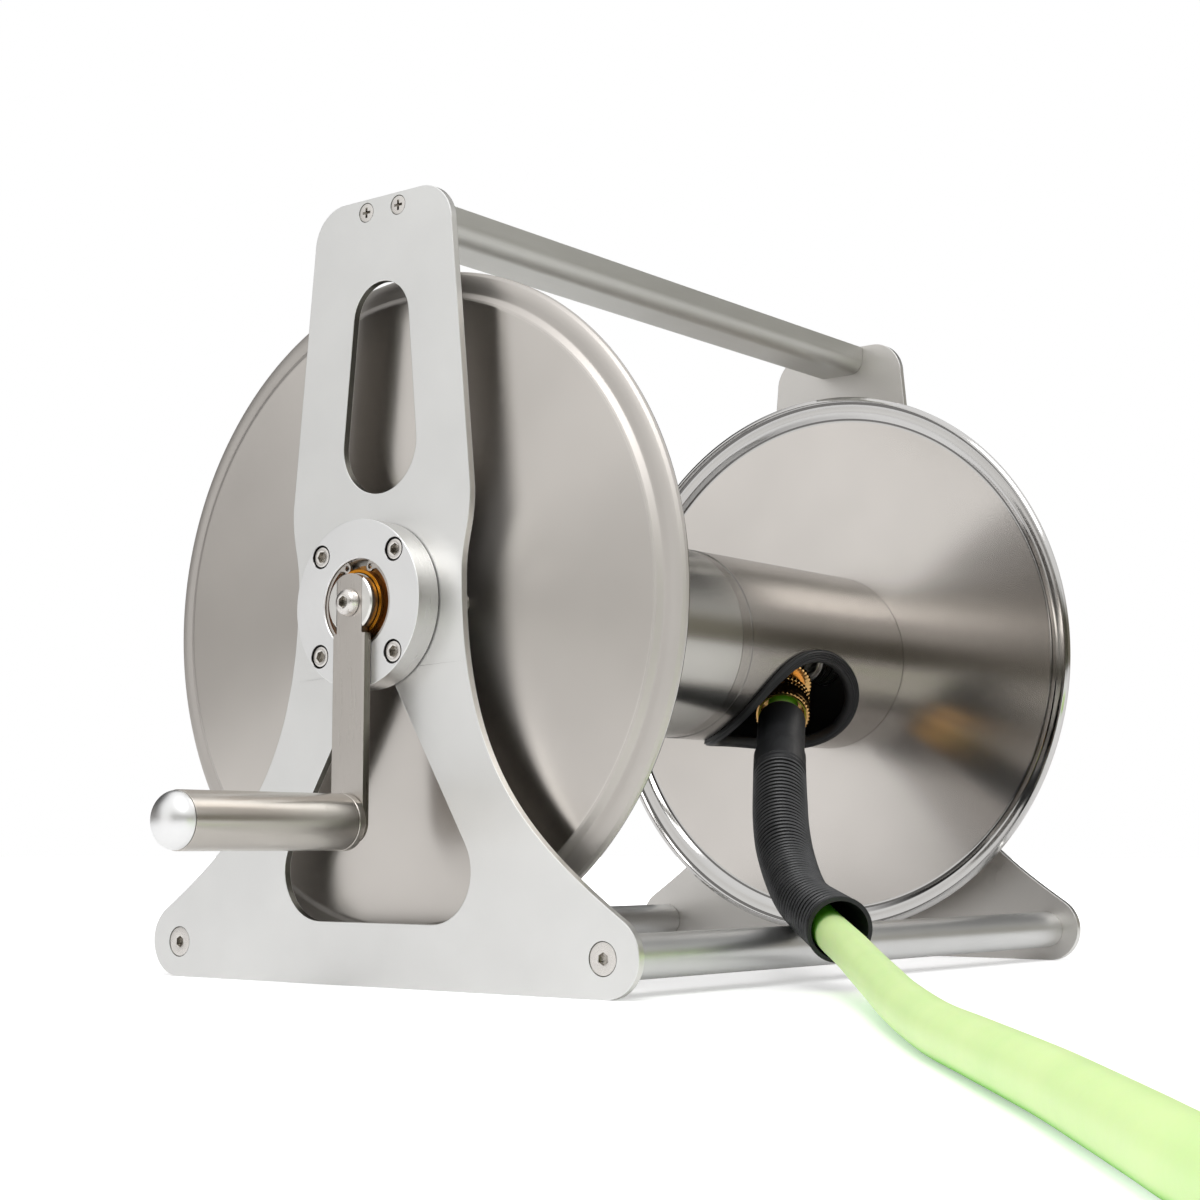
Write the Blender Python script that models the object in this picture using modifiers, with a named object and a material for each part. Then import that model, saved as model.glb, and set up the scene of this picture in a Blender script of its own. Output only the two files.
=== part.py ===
"""Garden hose reel: two side plates, base rods and a carry handle hold a crank-driven drum.

The drum's axis is X, with the crank on the -X side and the water inlet on the +X side.
The hose leaves through an opening in the drum's core toward -Y, the front, and lies on the
ground, z = 0.  Pieces are placed from the middle between the plates, and all of them move by
MIDDLE_X at the end, so that the origin is the bottom centre of the reel with its crank.
All sizes are in metres.
"""
import math

import bmesh
import bpy
from mathutils import Matrix, Vector

MM = 0.001
GAP = 0.3 * MM  # between pieces that touch
MIDDLE_X = 41.1 * MM  # the crank reaches further out than the inlet does

# Frame
PLATE_OUTER = 208.5 * MM  # outside face of a side plate, from the middle
PLATE_THICK = 4 * MM
PLATE_INNER = PLATE_OUTER - PLATE_THICK
PLATE_HEIGHT = 378 * MM
HUB_Z = 178 * MM  # drum axis above the ground
FOOT_Y = 137.5 * MM  # centre of a foot's round end
FOOT_R = 18 * MM
ROD_Y = 136 * MM  # axis of a base rod and of its screws
ROD_Z = 17.3 * MM
ROD_R = 10 * MM
HANDLE_HALF = 18.3 * MM
HANDLE_TOP = 377.2 * MM
HANDLE_DEPTH = 16.6 * MM
HANDLE_ROUND = 9 * MM

# Bearing housing, bush and circlip, as distances along the axis from the middle
HOUSING_R = 40 * MM
HOUSING_FACE = 222.5 * MM
SPIGOT_R = 25.6 * MM
BORE_R = 21.2 * MM
BUSH_R = 20.8 * MM
SHAFT_R = 14.2 * MM
RUNNING_R = SHAFT_R + 0.4 * MM
HOUSING_SCREW_AT = 23.8 * MM  # screw offset from the axis, both ways

# Drum
FLANGE_R = 165 * MM
FLANGE_FACE = 191 * MM
SHEET = 1.5 * MM
CORE_R = 53.2 * MM
CORE_WALL = 1.6 * MM
CORE_END = FLANGE_FACE - SHEET - GAP
HUB_PLATE_R = CORE_R - CORE_WALL - GAP
FLANGE_SCREW_AT = 38 * MM

# Opening in the core, an ellipse drawn on the unrolled tube
OPENING_X = 96.8 * MM
OPENING_TURN = math.radians(143.7)  # from straight up, toward the front
OPENING_HALF_X = 51.6 * MM
OPENING_HALF_TURN = math.radians(47)

# Crank
SHAFT_END = 227.1 * MM
ARM_THICK = 4.2 * MM
ARM_WIDTH = 20.5 * MM
TENON_WIDTH = 16.2 * MM
CRANK_LENGTH = 102 * MM
GRIP_R = 13.1 * MM
GRIP_START = 227.5 * MM
GRIP_END = 328 * MM
DOME = 9 * MM
SPINDLE_R = 5 * MM

# Water way: a 45 degree elbow in the core turns the inlet pipe toward the opening
ELBOW_X = 142 * MM
PIPE_R = 12.5 * MM
WATER_R = 8.5 * MM
NUT_FACE = 67.7 * MM  # along the outlet, from the elbow's corner
NUT_R = 15.7 * MM
TAIL_END = 56 * MM  # the hose starts here, inside the nut

# Hose
HOSE_R = 8.75 * MM
SLEEVE_START = 15 * MM  # along the hose from its start
SLEEVE_NECK = 41 * MM  # smooth part before the ribs
SLEEVE_R = 13.6 * MM
RIBS = 52
RIB_PITCH = 4.46 * MM
RIB_DEEP = 1.1 * MM
RIB_SHAPE = [(56, 14.5), (110, 14.8), (150, 14.6), (235, 13.2), (250, 13.3), (291, 15.2)]
BORE_SHAPE = [(0, 11.2), (255, 11.2), (291, 13.3)]
MOUTH_LIFT = Vector((1.1, -1.9, 2.5)) * MM  # the hose rests on the mouth's lower side
HOSE_LENGTH = 7.6
COUPLING_LENGTH = 46 * MM
COIL_CENTRE = (-471 * MM, -735 * MM)
COIL_OUTER = 162 * MM  # radius of the outermost turn's centre line
COIL_PITCH = 18.3 * MM
COIL_LAYER = 18.3 * MM
COIL_TURNS_IN = 4
COIL_CLIMB = 0.5
COIL_STEPS = 21  # points in each turn

SEGMENTS = 28

OUTLET = Vector((-math.cos(math.radians(45)),
                 -math.sin(math.radians(45)) * math.sin(OPENING_TURN),
                 math.sin(math.radians(45)) * math.cos(OPENING_TURN)))
ELBOW = Vector((ELBOW_X, 0, HUB_Z))

# Where the hose goes, in millimetres: out of the core, over the front rod and along the ground
ROUTE_MM = [
    (62.8, -47.2, 113.7), (46.8, -57.6, 100.9), (29, -69.5, 88), (11.4, -81.6, 76.5),
    (-8.5, -96.5, 64.6), (-27.6, -112.5, 53.6), (-49.8, -131.3, 44.6), (-70, -149.9, 37.3),
    (-86.1, -167.3, 30.7), (-101.7, -185.4, 24.8), (-127.1, -209.2, 20), (-165.7, -240.6, 15.5),
    (-213.6, -277, 12.4), (-270.3, -318.5, 10.3), (-336.7, -369.3, 8.9), (-388.7, -412.3, 8.9),
    (-453.2, -465.9, 8.9), (-495.6, -499.1, 8.9), (-530.8, -526.2, 8.9), (-559.7, -548.5, 8.9),
    (-592, -577.5, 8.9), (-620, -617, 8.9), (-632.4, -666, 8.9)]


def clear_scene():
    for thing in list(bpy.data.objects):
        bpy.data.objects.remove(thing, do_unlink=True)


def collection(name):
    made = bpy.data.collections.new(name)
    bpy.context.scene.collection.children.link(made)
    return made


def material(name, colour, roughness, metallic):
    made = bpy.data.materials.new(name)
    made.use_nodes = True
    shader = made.node_tree.nodes["Principled BSDF"]
    shader.inputs["Base Color"].default_value = (*colour, 1)
    shader.inputs["Roughness"].default_value = roughness
    shader.inputs["Metallic"].default_value = metallic
    made.diffuse_color = (*colour, 1)
    return made


clear_scene()
PARTS = collection("hose_reel")
CUTTERS = collection("cutters")
SATIN_ALUMINIUM = material("satin_aluminium", (0.70, 0.69, 0.67), 0.35, 1.0)
WHITE_ALUMINIUM = material("pale_aluminium", (0.86, 0.86, 0.86), 0.4, 1.0)
BRUSHED_STEEL = material("brushed_steel", (0.55, 0.51, 0.47), 0.3, 1.0)
POLISHED_STEEL = material("polished_steel", (0.75, 0.74, 0.73), 0.12, 1.0)
BRONZE = material("bronze", (0.80, 0.42, 0.10), 0.3, 1.0)
BRASS = material("brass", (0.78, 0.50, 0.22), 0.25, 1.0)
BLACK_RUBBER = material("black_rubber", (0.02, 0.02, 0.022), 0.6, 0.0)
GREEN_HOSE = material("green_hose", (0.63, 0.92, 0.36), 0.35, 0.0)


def frame_object(name, location, rotation=(0, 0, 0), parent=None):
    """An empty that carries pieces, for instance on a joint's axis."""
    made = bpy.data.objects.new(name, None)
    made.location = location
    made.rotation_euler = rotation
    made.parent = parent
    PARTS.objects.link(made)
    return made


def add_object(name, data, look, location=(0, 0, 0), rotation=(0, 0, 0), parent=None):
    made = bpy.data.objects.new(name, data)
    made.location = location
    made.rotation_euler = rotation
    made.parent = parent
    if look is None:
        CUTTERS.objects.link(made)
        made.hide_render = True
        made.display_type = "WIRE"
    else:
        PARTS.objects.link(made)
        if not data.materials:
            data.materials.append(look)
    return made


def smooth_shade(mesh, angle=35):
    mesh.shade_smooth()
    mesh.set_sharp_from_angle(angle=math.radians(angle))


def ring(radius, z, count, start=0.0):
    """Points of a circle at height z."""
    steps = [start + 2 * math.pi * i / count for i in range(count)]
    return [(radius * math.cos(a), radius * math.sin(a), z) for a in steps]


def lofted(name, rings, closed=False):
    """A mesh skinned over rings with equal counts: capped at both ends, or closed on itself."""
    mesh = bpy.data.meshes.new(name)
    work = bmesh.new()
    loops = [[work.verts.new(point) for point in points] for points in rings]
    count = len(loops[0])
    pairs = list(zip(loops, loops[1:]))
    if closed:
        pairs.append((loops[-1], loops[0]))
    for low, high in pairs:
        for i in range(count):
            j = (i + 1) % count
            work.faces.new((low[i], low[j], high[j], high[i]))
    if not closed:
        work.faces.new(list(reversed(loops[0])))
        work.faces.new(loops[-1])
    bmesh.ops.recalc_face_normals(work, faces=work.faces[:])
    work.to_mesh(mesh)
    work.free()
    smooth_shade(mesh)
    return mesh


def turned(name, profile, look, closed=False, segments=SEGMENTS, **place):
    """A turned piece: (along, radius) points that run down its outer side, turned about Z."""
    mesh = bpy.data.meshes.new(name)
    edges = [(i, i + 1) for i in range(len(profile) - 1)]
    if closed:
        edges.append((len(profile) - 1, 0))
    mesh.from_pydata([(radius, 0, along) for along, radius in profile], edges, [])
    made = add_object(name, mesh, look, **place)
    screw = made.modifiers.new("turn", "SCREW")
    screw.steps = segments
    screw.render_steps = segments
    screw.use_merge_vertices = True
    screw.merge_threshold = 0.00001
    screw.use_smooth_shade = True
    return made


def as_mesh(curve_object):
    """Replace a curve object by a mesh object whose caps are welded."""
    bpy.context.view_layer.update()
    ready = curve_object.evaluated_get(bpy.context.evaluated_depsgraph_get())
    mesh = bpy.data.meshes.new_from_object(ready)
    work = bmesh.new()
    work.from_mesh(mesh)
    bmesh.ops.remove_doubles(work, verts=work.verts[:], dist=0.00001)
    bmesh.ops.recalc_face_normals(work, faces=work.faces[:])
    work.to_mesh(mesh)
    work.free()
    name = curve_object.name
    look = curve_object.data.materials[0] if curve_object.data.materials else None
    place = curve_object.matrix_world.copy()
    parent = curve_object.parent
    data = curve_object.data
    bpy.data.objects.remove(curve_object, do_unlink=True)
    bpy.data.curves.remove(data)
    smooth_shade(mesh)
    mesh.name = name
    made = add_object(name, mesh, look, parent=parent)
    made.matrix_world = place
    return made


def flat_piece(name, outlines, thickness, look, **place):
    """A plate: closed outlines in XY, the first the edge and the others its holes."""
    curve = bpy.data.curves.new(name, "CURVE")
    curve.dimensions = "2D"
    curve.fill_mode = "BOTH"
    curve.extrude = thickness / 2
    for outline in outlines:
        spline = curve.splines.new("POLY")
        spline.points.add(len(outline) - 1)
        for point, (x, y) in zip(spline.points, outline):
            point.co = (x, y, 0, 1)
        spline.use_cyclic_u = True
    return as_mesh(add_object(name, curve, look, **place))


def tube_along(name, points, radius, look, radii=None, bevel=2):
    """A round tube along points, with filled ends.  radii scales it at each point."""
    curve = bpy.data.curves.new(name, "CURVE")
    curve.dimensions = "3D"
    curve.bevel_depth = radius
    curve.bevel_resolution = bevel
    curve.render_resolution_u = 0
    curve.use_fill_caps = True
    spline = curve.splines.new("POLY")
    spline.points.add(len(points) - 1)
    for i, (point, place) in enumerate(zip(spline.points, points)):
        point.co = (*place, 1)
        point.radius = 1 if radii is None else radii[i]
    return as_mesh(add_object(name, curve, look))


def cut(target, cutter, operation="DIFFERENCE"):
    step = target.modifiers.new(cutter.name, "BOOLEAN")
    step.operation = operation
    step.solver = "EXACT"
    step.object = cutter


def round_cutter(name, places, profile, count=16, **place):
    """One cutter of several turned plugs: each has its (along, radius) profile at (x, y)."""
    mesh = bpy.data.meshes.new(name)
    work = bmesh.new()
    for x, y in places:
        loops = [[work.verts.new((x + px, y + py, pz)) for px, py, pz in ring(radius, along, count)]
                 for along, radius in profile]
        faces = [work.faces.new(list(reversed(loops[0]))), work.faces.new(loops[-1])]
        for low, high in zip(loops, loops[1:]):
            for i in range(count):
                j = (i + 1) % count
                faces.append(work.faces.new((low[i], low[j], high[j], high[i])))
        bmesh.ops.recalc_face_normals(work, faces=faces)
    work.to_mesh(mesh)
    work.free()
    return add_object(name, mesh, None, **place)


def arc(centre, radius, start, end, count):
    """Points on an arc, angles in degrees, both ends included."""
    steps = [math.radians(start + (end - start) * i / count) for i in range(count + 1)]
    return [(centre[0] + radius * math.cos(a), centre[1] + radius * math.sin(a)) for a in steps]


def bezier(p0, p1, p2, p3, count):
    """Points on a cubic curve, without its first point."""
    found = []
    for i in range(1, count + 1):
        t = i / count
        weights = ((1 - t) ** 3, 3 * t * (1 - t) ** 2, 3 * t * t * (1 - t), t ** 3)
        found.append(tuple(sum(w * p[k] for w, p in zip(weights, (p0, p1, p2, p3))) for k in (0, 1)))
    return found


def rounded_polygon(corners, radii, count=6):
    """A closed outline with its corners rounded by arcs."""
    found = []
    for i, (corner, radius) in enumerate(zip(corners, radii)):
        here = Vector(corner)
        back = (Vector(corners[i - 1]) - here).normalized()
        ahead = (Vector(corners[(i + 1) % len(corners)]) - here).normalized()
        half = back.angle(ahead) / 2
        centre = here + (back + ahead).normalized() * (radius / math.sin(half))
        first = here + back * (radius / math.tan(half)) - centre
        last = here + ahead * (radius / math.tan(half)) - centre
        for step in range(count + 1):
            turn = first.angle_signed(last) * step / count
            found.append(tuple(centre + Matrix.Rotation(-turn, 2) @ first))
    return found


def circle(centre, radius, count):
    return arc(centre, radius, 0, 360 * (count - 1) / count, count - 1)


# Side plates, base rods and handle

def plate_half():
    """Right half of a side plate's edge, from the middle of its foot to the top, y then z."""
    toe_angle = 57
    toe = arc((FOOT_Y, FOOT_R), FOOT_R, -90, toe_angle, 7)
    slope = math.radians(toe_angle + 90)
    waist = (53.5 * MM, 190 * MM)
    flare = bezier(toe[-1], (toe[-1][0] + 70 * MM * math.cos(slope), toe[-1][1] + 70 * MM * math.sin(slope)),
                   (waist[0], waist[1] - 86 * MM), waist, 8)
    shoulder = (58.2 * MM, 230 * MM)
    swell = bezier(waist, (waist[0], waist[1] + 16 * MM), (58.9 * MM, 213 * MM), shoulder, 4)
    corner_r = 20 * MM
    corner = arc((25.5 * MM, PLATE_HEIGHT - corner_r), corner_r, 0, 90, 6)
    return toe + flare + swell + corner


def plate_edge():
    half = plate_half()
    return half + [(-y, z) for y, z in reversed(half)]


def neck_slot():
    """Tapered slot in the neck: a small round end above a larger one."""
    low, low_r = 256 * MM, 24 * MM
    high, high_r = 317.5 * MM, 18.2 * MM
    lean = math.degrees(math.asin((low_r - high_r) / (high - low)))
    return arc((0, high), high_r, lean, 180 - lean, 8) + arc((0, low), low_r, 180 - lean, 360 + lean, 10)


def foot_window():
    """Rounded triangle below the hub."""
    corners = [(0, 159.9 * MM), (-78.8 * MM, 29.5 * MM), (78.8 * MM, 29.5 * MM)]
    return rounded_polygon(corners, [14 * MM, 24 * MM, 24 * MM], 5)


HANDLE_SCREWS = [(10.6 * MM, 371.5 * MM), (-10.6 * MM, 371.5 * MM)]
FOOT_SCREWS = [(ROD_Y, ROD_Z), (-ROD_Y, ROD_Z)]
HOUSING_SCREWS = [(a * HOUSING_SCREW_AT, b * HOUSING_SCREW_AT) for a in (1, -1) for b in (1, -1)]


def standing(side, along):
    """Place for a flat piece drawn as (y, z): its face looks out of the given side."""
    return {"location": (side * along, 0, 0), "rotation": (math.radians(90), 0, math.radians(90))}


def side_plate(side, word):
    holes = [neck_slot(), foot_window(), circle((0, HUB_Z), SPIGOT_R + 0.5 * MM, 24)]
    holes += [circle((y, HUB_Z + z), 3.5 * MM, 8) for y, z in HOUSING_SCREWS]
    middle = PLATE_OUTER - PLATE_THICK / 2
    plate = flat_piece("side_plate_" + word, [plate_edge()] + holes, PLATE_THICK, SATIN_ALUMINIUM,
                       **standing(side, middle))
    face = side * PLATE_THICK / 2
    over = side * 1 * MM
    sinks = [(FOOT_SCREWS, 4.6, 7.8, 3, 10), (HANDLE_SCREWS, 2.9, 4.95, 2.2, 8)]
    for i, (places, small, large, depth, count) in enumerate(sinks):
        profile = [(-face - over, small * MM), (face - side * depth * MM, small * MM), (face, large * MM),
                   (face + over, large * MM)]
        cut(plate, round_cutter("sink_%s_%d" % (word, i), places, profile, count, **standing(side, middle)))
    return plate


def base_rod(name, y):
    """Round rod with a tapped hole in each end."""
    end = PLATE_INNER - GAP
    hole, depth = 4.6 * MM, 20 * MM
    half = [(end - depth, 0), (end - depth, hole), (end, hole), (end, ROD_R)]
    profile = half + [(-along, radius) for along, radius in reversed(half)]
    return turned(name, profile, POLISHED_STEEL, segments=20, location=(0, y, ROD_Z),
                  rotation=(0, math.radians(90), 0))


def carry_handle():
    """Extruded bar with a flat top, upright sides, a rounded underside and two screw channels."""
    bottom = HANDLE_TOP - HANDLE_DEPTH
    side_y = HANDLE_HALF - HANDLE_ROUND
    right = arc((side_y, bottom + HANDLE_ROUND), HANDLE_ROUND, -90, 0, 7) + [(HANDLE_HALF, HANDLE_TOP)]
    outline = right + [(-y, z) for y, z in reversed(right)]
    channels = [circle(at, 2.9 * MM, 10) for at in HANDLE_SCREWS]
    return flat_piece("carry_handle", [outline] + channels, 2 * (PLATE_INNER - GAP), SATIN_ALUMINIUM,
                      **standing(1, 0))


def cross(reach, width, z):
    """A plus sign, for a Phillips recess."""
    found = []
    for quarter in range(4):
        turn = Matrix.Rotation(math.radians(90 * quarter), 2)
        for point in ((reach, -width), (reach, width), (width, width)):
            x, y = turn @ Vector(point)
            found.append((x, y, z))
    return found


def screw_mesh(name, recess, rings):
    """Skins rings from the recess's floor, over the head and down the shank to its end.

    A ring has 6 or 12 points, and a ring may be followed by one with the other count.
    """
    mesh = bpy.data.meshes.new(name)
    work = bmesh.new()
    loops = [[work.verts.new(point) for point in points] for points in recess + rings]
    for low, high in zip(loops, loops[1:]):
        if len(low) == len(high):
            count = len(low)
            for i in range(count):
                j = (i + 1) % count
                work.faces.new((low[i], low[j], high[j], high[i]))
            continue
        few, many = sorted((low, high), key=len)
        for i in range(6):
            j = (i + 1) % 6
            a, b, c = many[2 * i], many[2 * i + 1], many[(2 * i + 2) % 12]
            work.faces.new((few[i], a, b))
            work.faces.new((few[i], b, few[j]))
            work.faces.new((few[j], b, c))
    work.faces.new(loops[0])
    work.faces.new(loops[-1])
    bmesh.ops.recalc_face_normals(work, faces=work.faces[:])
    work.to_mesh(mesh)
    work.free()
    smooth_shade(mesh)
    return mesh


def head_and_shank(head, shank_r, under, end, start=0.0):
    """The head's (along, radius) rings, then a shank with six sides."""
    rings = [ring(radius, along, 12, start) for along, radius in head]
    return rings + [ring(shank_r, along, 6, start) for along in (under, end)]


def screw_meshes():
    hexes = {across: [ring(across * MM / math.sqrt(3), deep * MM, 6) for deep in (-0.45 * across, 0)]
             for across in (4, 5)}
    plus = [cross(1.2 * MM, 0.4 * MM, -2 * MM), cross(2.6 * MM, 0.6 * MM, -0.1 * MM)]
    lean = math.atan2(-0.6, 2.6)
    foot = head_and_shank([(0, 7.2 * MM), (-3 * MM, 4 * MM)], 4 * MM, -3.1 * MM, -22 * MM)
    handle = head_and_shank([(0, 4.5 * MM), (-2.2 * MM, 2.5 * MM)], 2.5 * MM, -2.3 * MM, -20 * MM, lean)
    housing = head_and_shank([(0, 4.9 * MM), (-6 * MM, 4.9 * MM)], 3 * MM, -6 * MM, -16.5 * MM)
    flange = head_and_shank([(0, 3.4 * MM), (-3.3 * MM, 5.25 * MM)], 3 * MM,
                            -3.3 * MM, -10.5 * MM)
    arm = head_and_shank([(0, 4.4 * MM), (-4.2 * MM, 6.5 * MM)], 4 * MM, -4.2 * MM, -22 * MM)
    return {
        "foot": screw_mesh("foot_screw", hexes[5], foot),
        "handle": screw_mesh("handle_screw", plus, handle),
        "housing": screw_mesh("housing_screw", hexes[5], housing),
        "flange": screw_mesh("flange_screw", hexes[4], flange),
        "arm": screw_mesh("arm_screw", hexes[5], arm),
    }


def facing(side):
    """Turns a piece whose own Z is outward toward the given side."""
    return (0, side * math.radians(90), 0)


def frame_screws(meshes):
    for side, word in ((-1, "crank"), (1, "inlet")):
        along = PLATE_OUTER - 0.1 * MM
        for kind, places in (("foot", FOOT_SCREWS), ("handle", HANDLE_SCREWS)):
            for (y, z), end in zip(places, ("rear", "front")):
                add_object("%s_screw_%s_%s" % (kind, word, end), meshes[kind], POLISHED_STEEL,
                           location=(side * along, y, z), rotation=facing(side))
        for i, (y, z) in enumerate(HOUSING_SCREWS):
            add_object("housing_screw_%s_%d" % (word, i + 1), meshes["housing"], POLISHED_STEEL,
                       location=(side * (HOUSING_FACE - 0.8 * MM), y, HUB_Z + z), rotation=facing(side))


# Bearings

def bearing_housing(side, word):
    groove = HOUSING_FACE - 4.6 * MM
    profile = [
        (HOUSING_FACE, BORE_R), (HOUSING_FACE, HOUSING_R - 0.7 * MM), (HOUSING_FACE - 0.7 * MM, HOUSING_R),
        (PLATE_OUTER + GAP, HOUSING_R), (PLATE_OUTER + GAP, SPIGOT_R), (PLATE_INNER, SPIGOT_R),
        (PLATE_INNER, BORE_R), (groove, BORE_R), (groove, BORE_R + 1.4 * MM),
        (groove + 2.1 * MM, BORE_R + 1.4 * MM), (groove + 2.1 * MM, BORE_R)]
    housing = turned("bearing_housing_" + word, profile, WHITE_ALUMINIUM, closed=True,
                     location=(0, 0, HUB_Z), rotation=facing(side))
    seat = HOUSING_FACE - 7.1 * MM
    holes = [(PLATE_OUTER - 3 * MM, 3.4 * MM), (seat, 3.4 * MM), (seat, 5.7 * MM),
             (HOUSING_FACE + 2 * MM, 5.7 * MM)]
    cut(housing, round_cutter("housing_holes_" + word, HOUSING_SCREWS, holes, 8, location=(0, 0, HUB_Z),
                              rotation=facing(side)))


def bush(side, word):
    low, high = PLATE_INNER, HOUSING_FACE - 5 * MM
    profile = [(high, RUNNING_R), (high, BUSH_R), (low, BUSH_R), (low, RUNNING_R)]
    turned("bush_" + word, profile, BRONZE, closed=True, location=(0, 0, HUB_Z), rotation=facing(side),
           segments=20)


def circlip(side, word):
    """Internal circlip: an open ring with two lugs that point inward at the top."""
    outer, inner = BORE_R + 1 * MM, BORE_R - 1.5 * MM
    lug_r, lug_at, lug_turn = 2.9 * MM, BORE_R - 3 * MM, 24
    lug = (lug_at * math.cos(math.radians(90 - lug_turn)), lug_at * math.sin(math.radians(90 - lug_turn)))
    right = arc((0, 0), outer, -90, 90 - lug_turn + 6, 10)
    right += arc(lug, lug_r, 115, 325, 6)
    right += arc((0, 0), inner, 90 - lug_turn - 13, -90, 8)
    left = [(-x, y) for x, y in reversed(right)]
    outline = right[1:-1] + left
    eyes = [circle((sign * lug[0], lug[1]), 1.1 * MM, 8) for sign in (1, -1)]
    groove_middle = HOUSING_FACE - 3.55 * MM
    flat_piece("circlip_" + word, [outline] + eyes, 1.5 * MM, POLISHED_STEEL,
               location=(side * groove_middle, 0, HUB_Z), rotation=(math.radians(90), 0, math.radians(90)))


# Drum

def flange_profile():
    """Spun disc: flat middle, a conical step inward, a crowned rim and a rolled edge."""
    face, back = FLANGE_FACE, FLANGE_FACE - SHEET
    hole = SHAFT_R + 4.6 * MM
    outer = [(0, 151.3), (-2.6, 154.4), (-3, 161.5), (-6.2, 165), (-9, 162.6)]
    inner = [(-6.4, 163), (-4.5, 155), (-1.8, 151.7)]
    points = [(face, hole)] + [(face + a * MM, r * MM) for a, r in outer + inner]
    return points + [(back, hole)]


def flange(side, word, hub):
    disc = turned("flange_" + word, flange_profile(), BRUSHED_STEEL, closed=True, rotation=facing(side),
                  segments=40, parent=hub)
    places = [(FLANGE_SCREW_AT * math.cos(a), FLANGE_SCREW_AT * math.sin(a)) for a in flange_screw_turns()]
    through = [(CORE_END - 12 * MM, 3.4 * MM), (FLANGE_FACE + 2 * MM, 3.4 * MM)]
    holes = round_cutter("flange_holes_" + word, places, through, 8, rotation=facing(side), parent=hub)
    cut(disc, holes)
    low, high = CORE_END - 6 * MM, CORE_END
    profile = [(high, RUNNING_R), (high, HUB_PLATE_R), (low, HUB_PLATE_R), (low, RUNNING_R)]
    plate = turned("hub_plate_" + word, profile, BRUSHED_STEEL, closed=True, rotation=facing(side),
                   segments=20, parent=hub)
    cut(plate, holes)


def flange_screw_turns():
    return [math.radians(30 + 120 * i) for i in range(3)]


def flange_screws(side, word, mesh, hub):
    for i, turn in enumerate(flange_screw_turns()):
        at = Matrix.Rotation(side * math.radians(90), 3, "Y") @ Vector(
            (FLANGE_SCREW_AT * math.cos(turn), FLANGE_SCREW_AT * math.sin(turn), FLANGE_FACE + 3.6 * MM))
        add_object("flange_screw_%s_%d" % (word, i + 1), mesh, POLISHED_STEEL, location=at,
                   rotation=facing(side), parent=hub)


def on_core(x, turn, radius):
    """A point at a turn from straight up toward the front, about the drum's axis."""
    return (x, -radius * math.sin(turn), radius * math.cos(turn))


def opening_point(step, out, radius):
    """Point on the opening's edge, moved out from it along the unrolled tube."""
    half_run = OPENING_HALF_TURN * CORE_R
    x, run = OPENING_HALF_X * math.cos(step), half_run * math.sin(step)
    normal = Vector((half_run * math.cos(step), OPENING_HALF_X * math.sin(step))).normalized()
    turn = OPENING_TURN + (run + out * normal.y) / CORE_R
    return on_core(OPENING_X + x + out * normal.x, turn, radius)


def drum_core(hub):
    """Tube with a shallow joint band near the middle, cut by the hose opening."""
    inner = CORE_R - CORE_WALL
    band, band_end, dip = 20 * MM, 28.5 * MM, 0.4 * MM
    profile = [(CORE_END, inner), (CORE_END, CORE_R), (band_end, CORE_R), (band_end, CORE_R - dip),
               (band, CORE_R - dip), (band, CORE_R), (-CORE_END, CORE_R), (-CORE_END, inner)]
    core = turned("drum_core", profile, BRUSHED_STEEL, closed=True, rotation=facing(1), segments=32,
                  parent=hub)
    steps = [2 * math.pi * i / 32 for i in range(32)]
    radii = (0.75 * CORE_R, CORE_R - 2.6 * MM, CORE_R + 1 * MM, 1.8 * CORE_R)
    rings = [[opening_point(step, 0, radius) for step in steps] for radius in radii]
    cut(core, add_object("opening_cutter", lofted("opening_cutter", rings), None, parent=hub))


def opening_trim(hub):
    """Rubber edging: a U section that wraps the edge of the opening all round."""
    outer, inner = CORE_R + 0.5 * MM, CORE_R - CORE_WALL - 0.5 * MM
    section = [(4, outer), (4, outer + 1.8 * MM), (2, outer + 2.6 * MM), (-2.4, outer + 2.2 * MM),
               (-2.6, inner - 1.4 * MM), (-1.4, inner - 2.2 * MM), (4, inner - 1.8 * MM), (4, inner),
               (-0.4, inner), (-0.4, outer)]
    steps = [2 * math.pi * i / 32 for i in range(32)]
    rings = [[opening_point(step, out * MM, radius) for out, radius in section] for step in steps]
    add_object("opening_trim", lofted("opening_trim", rings, closed=True), BLACK_RUBBER, parent=hub)


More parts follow.
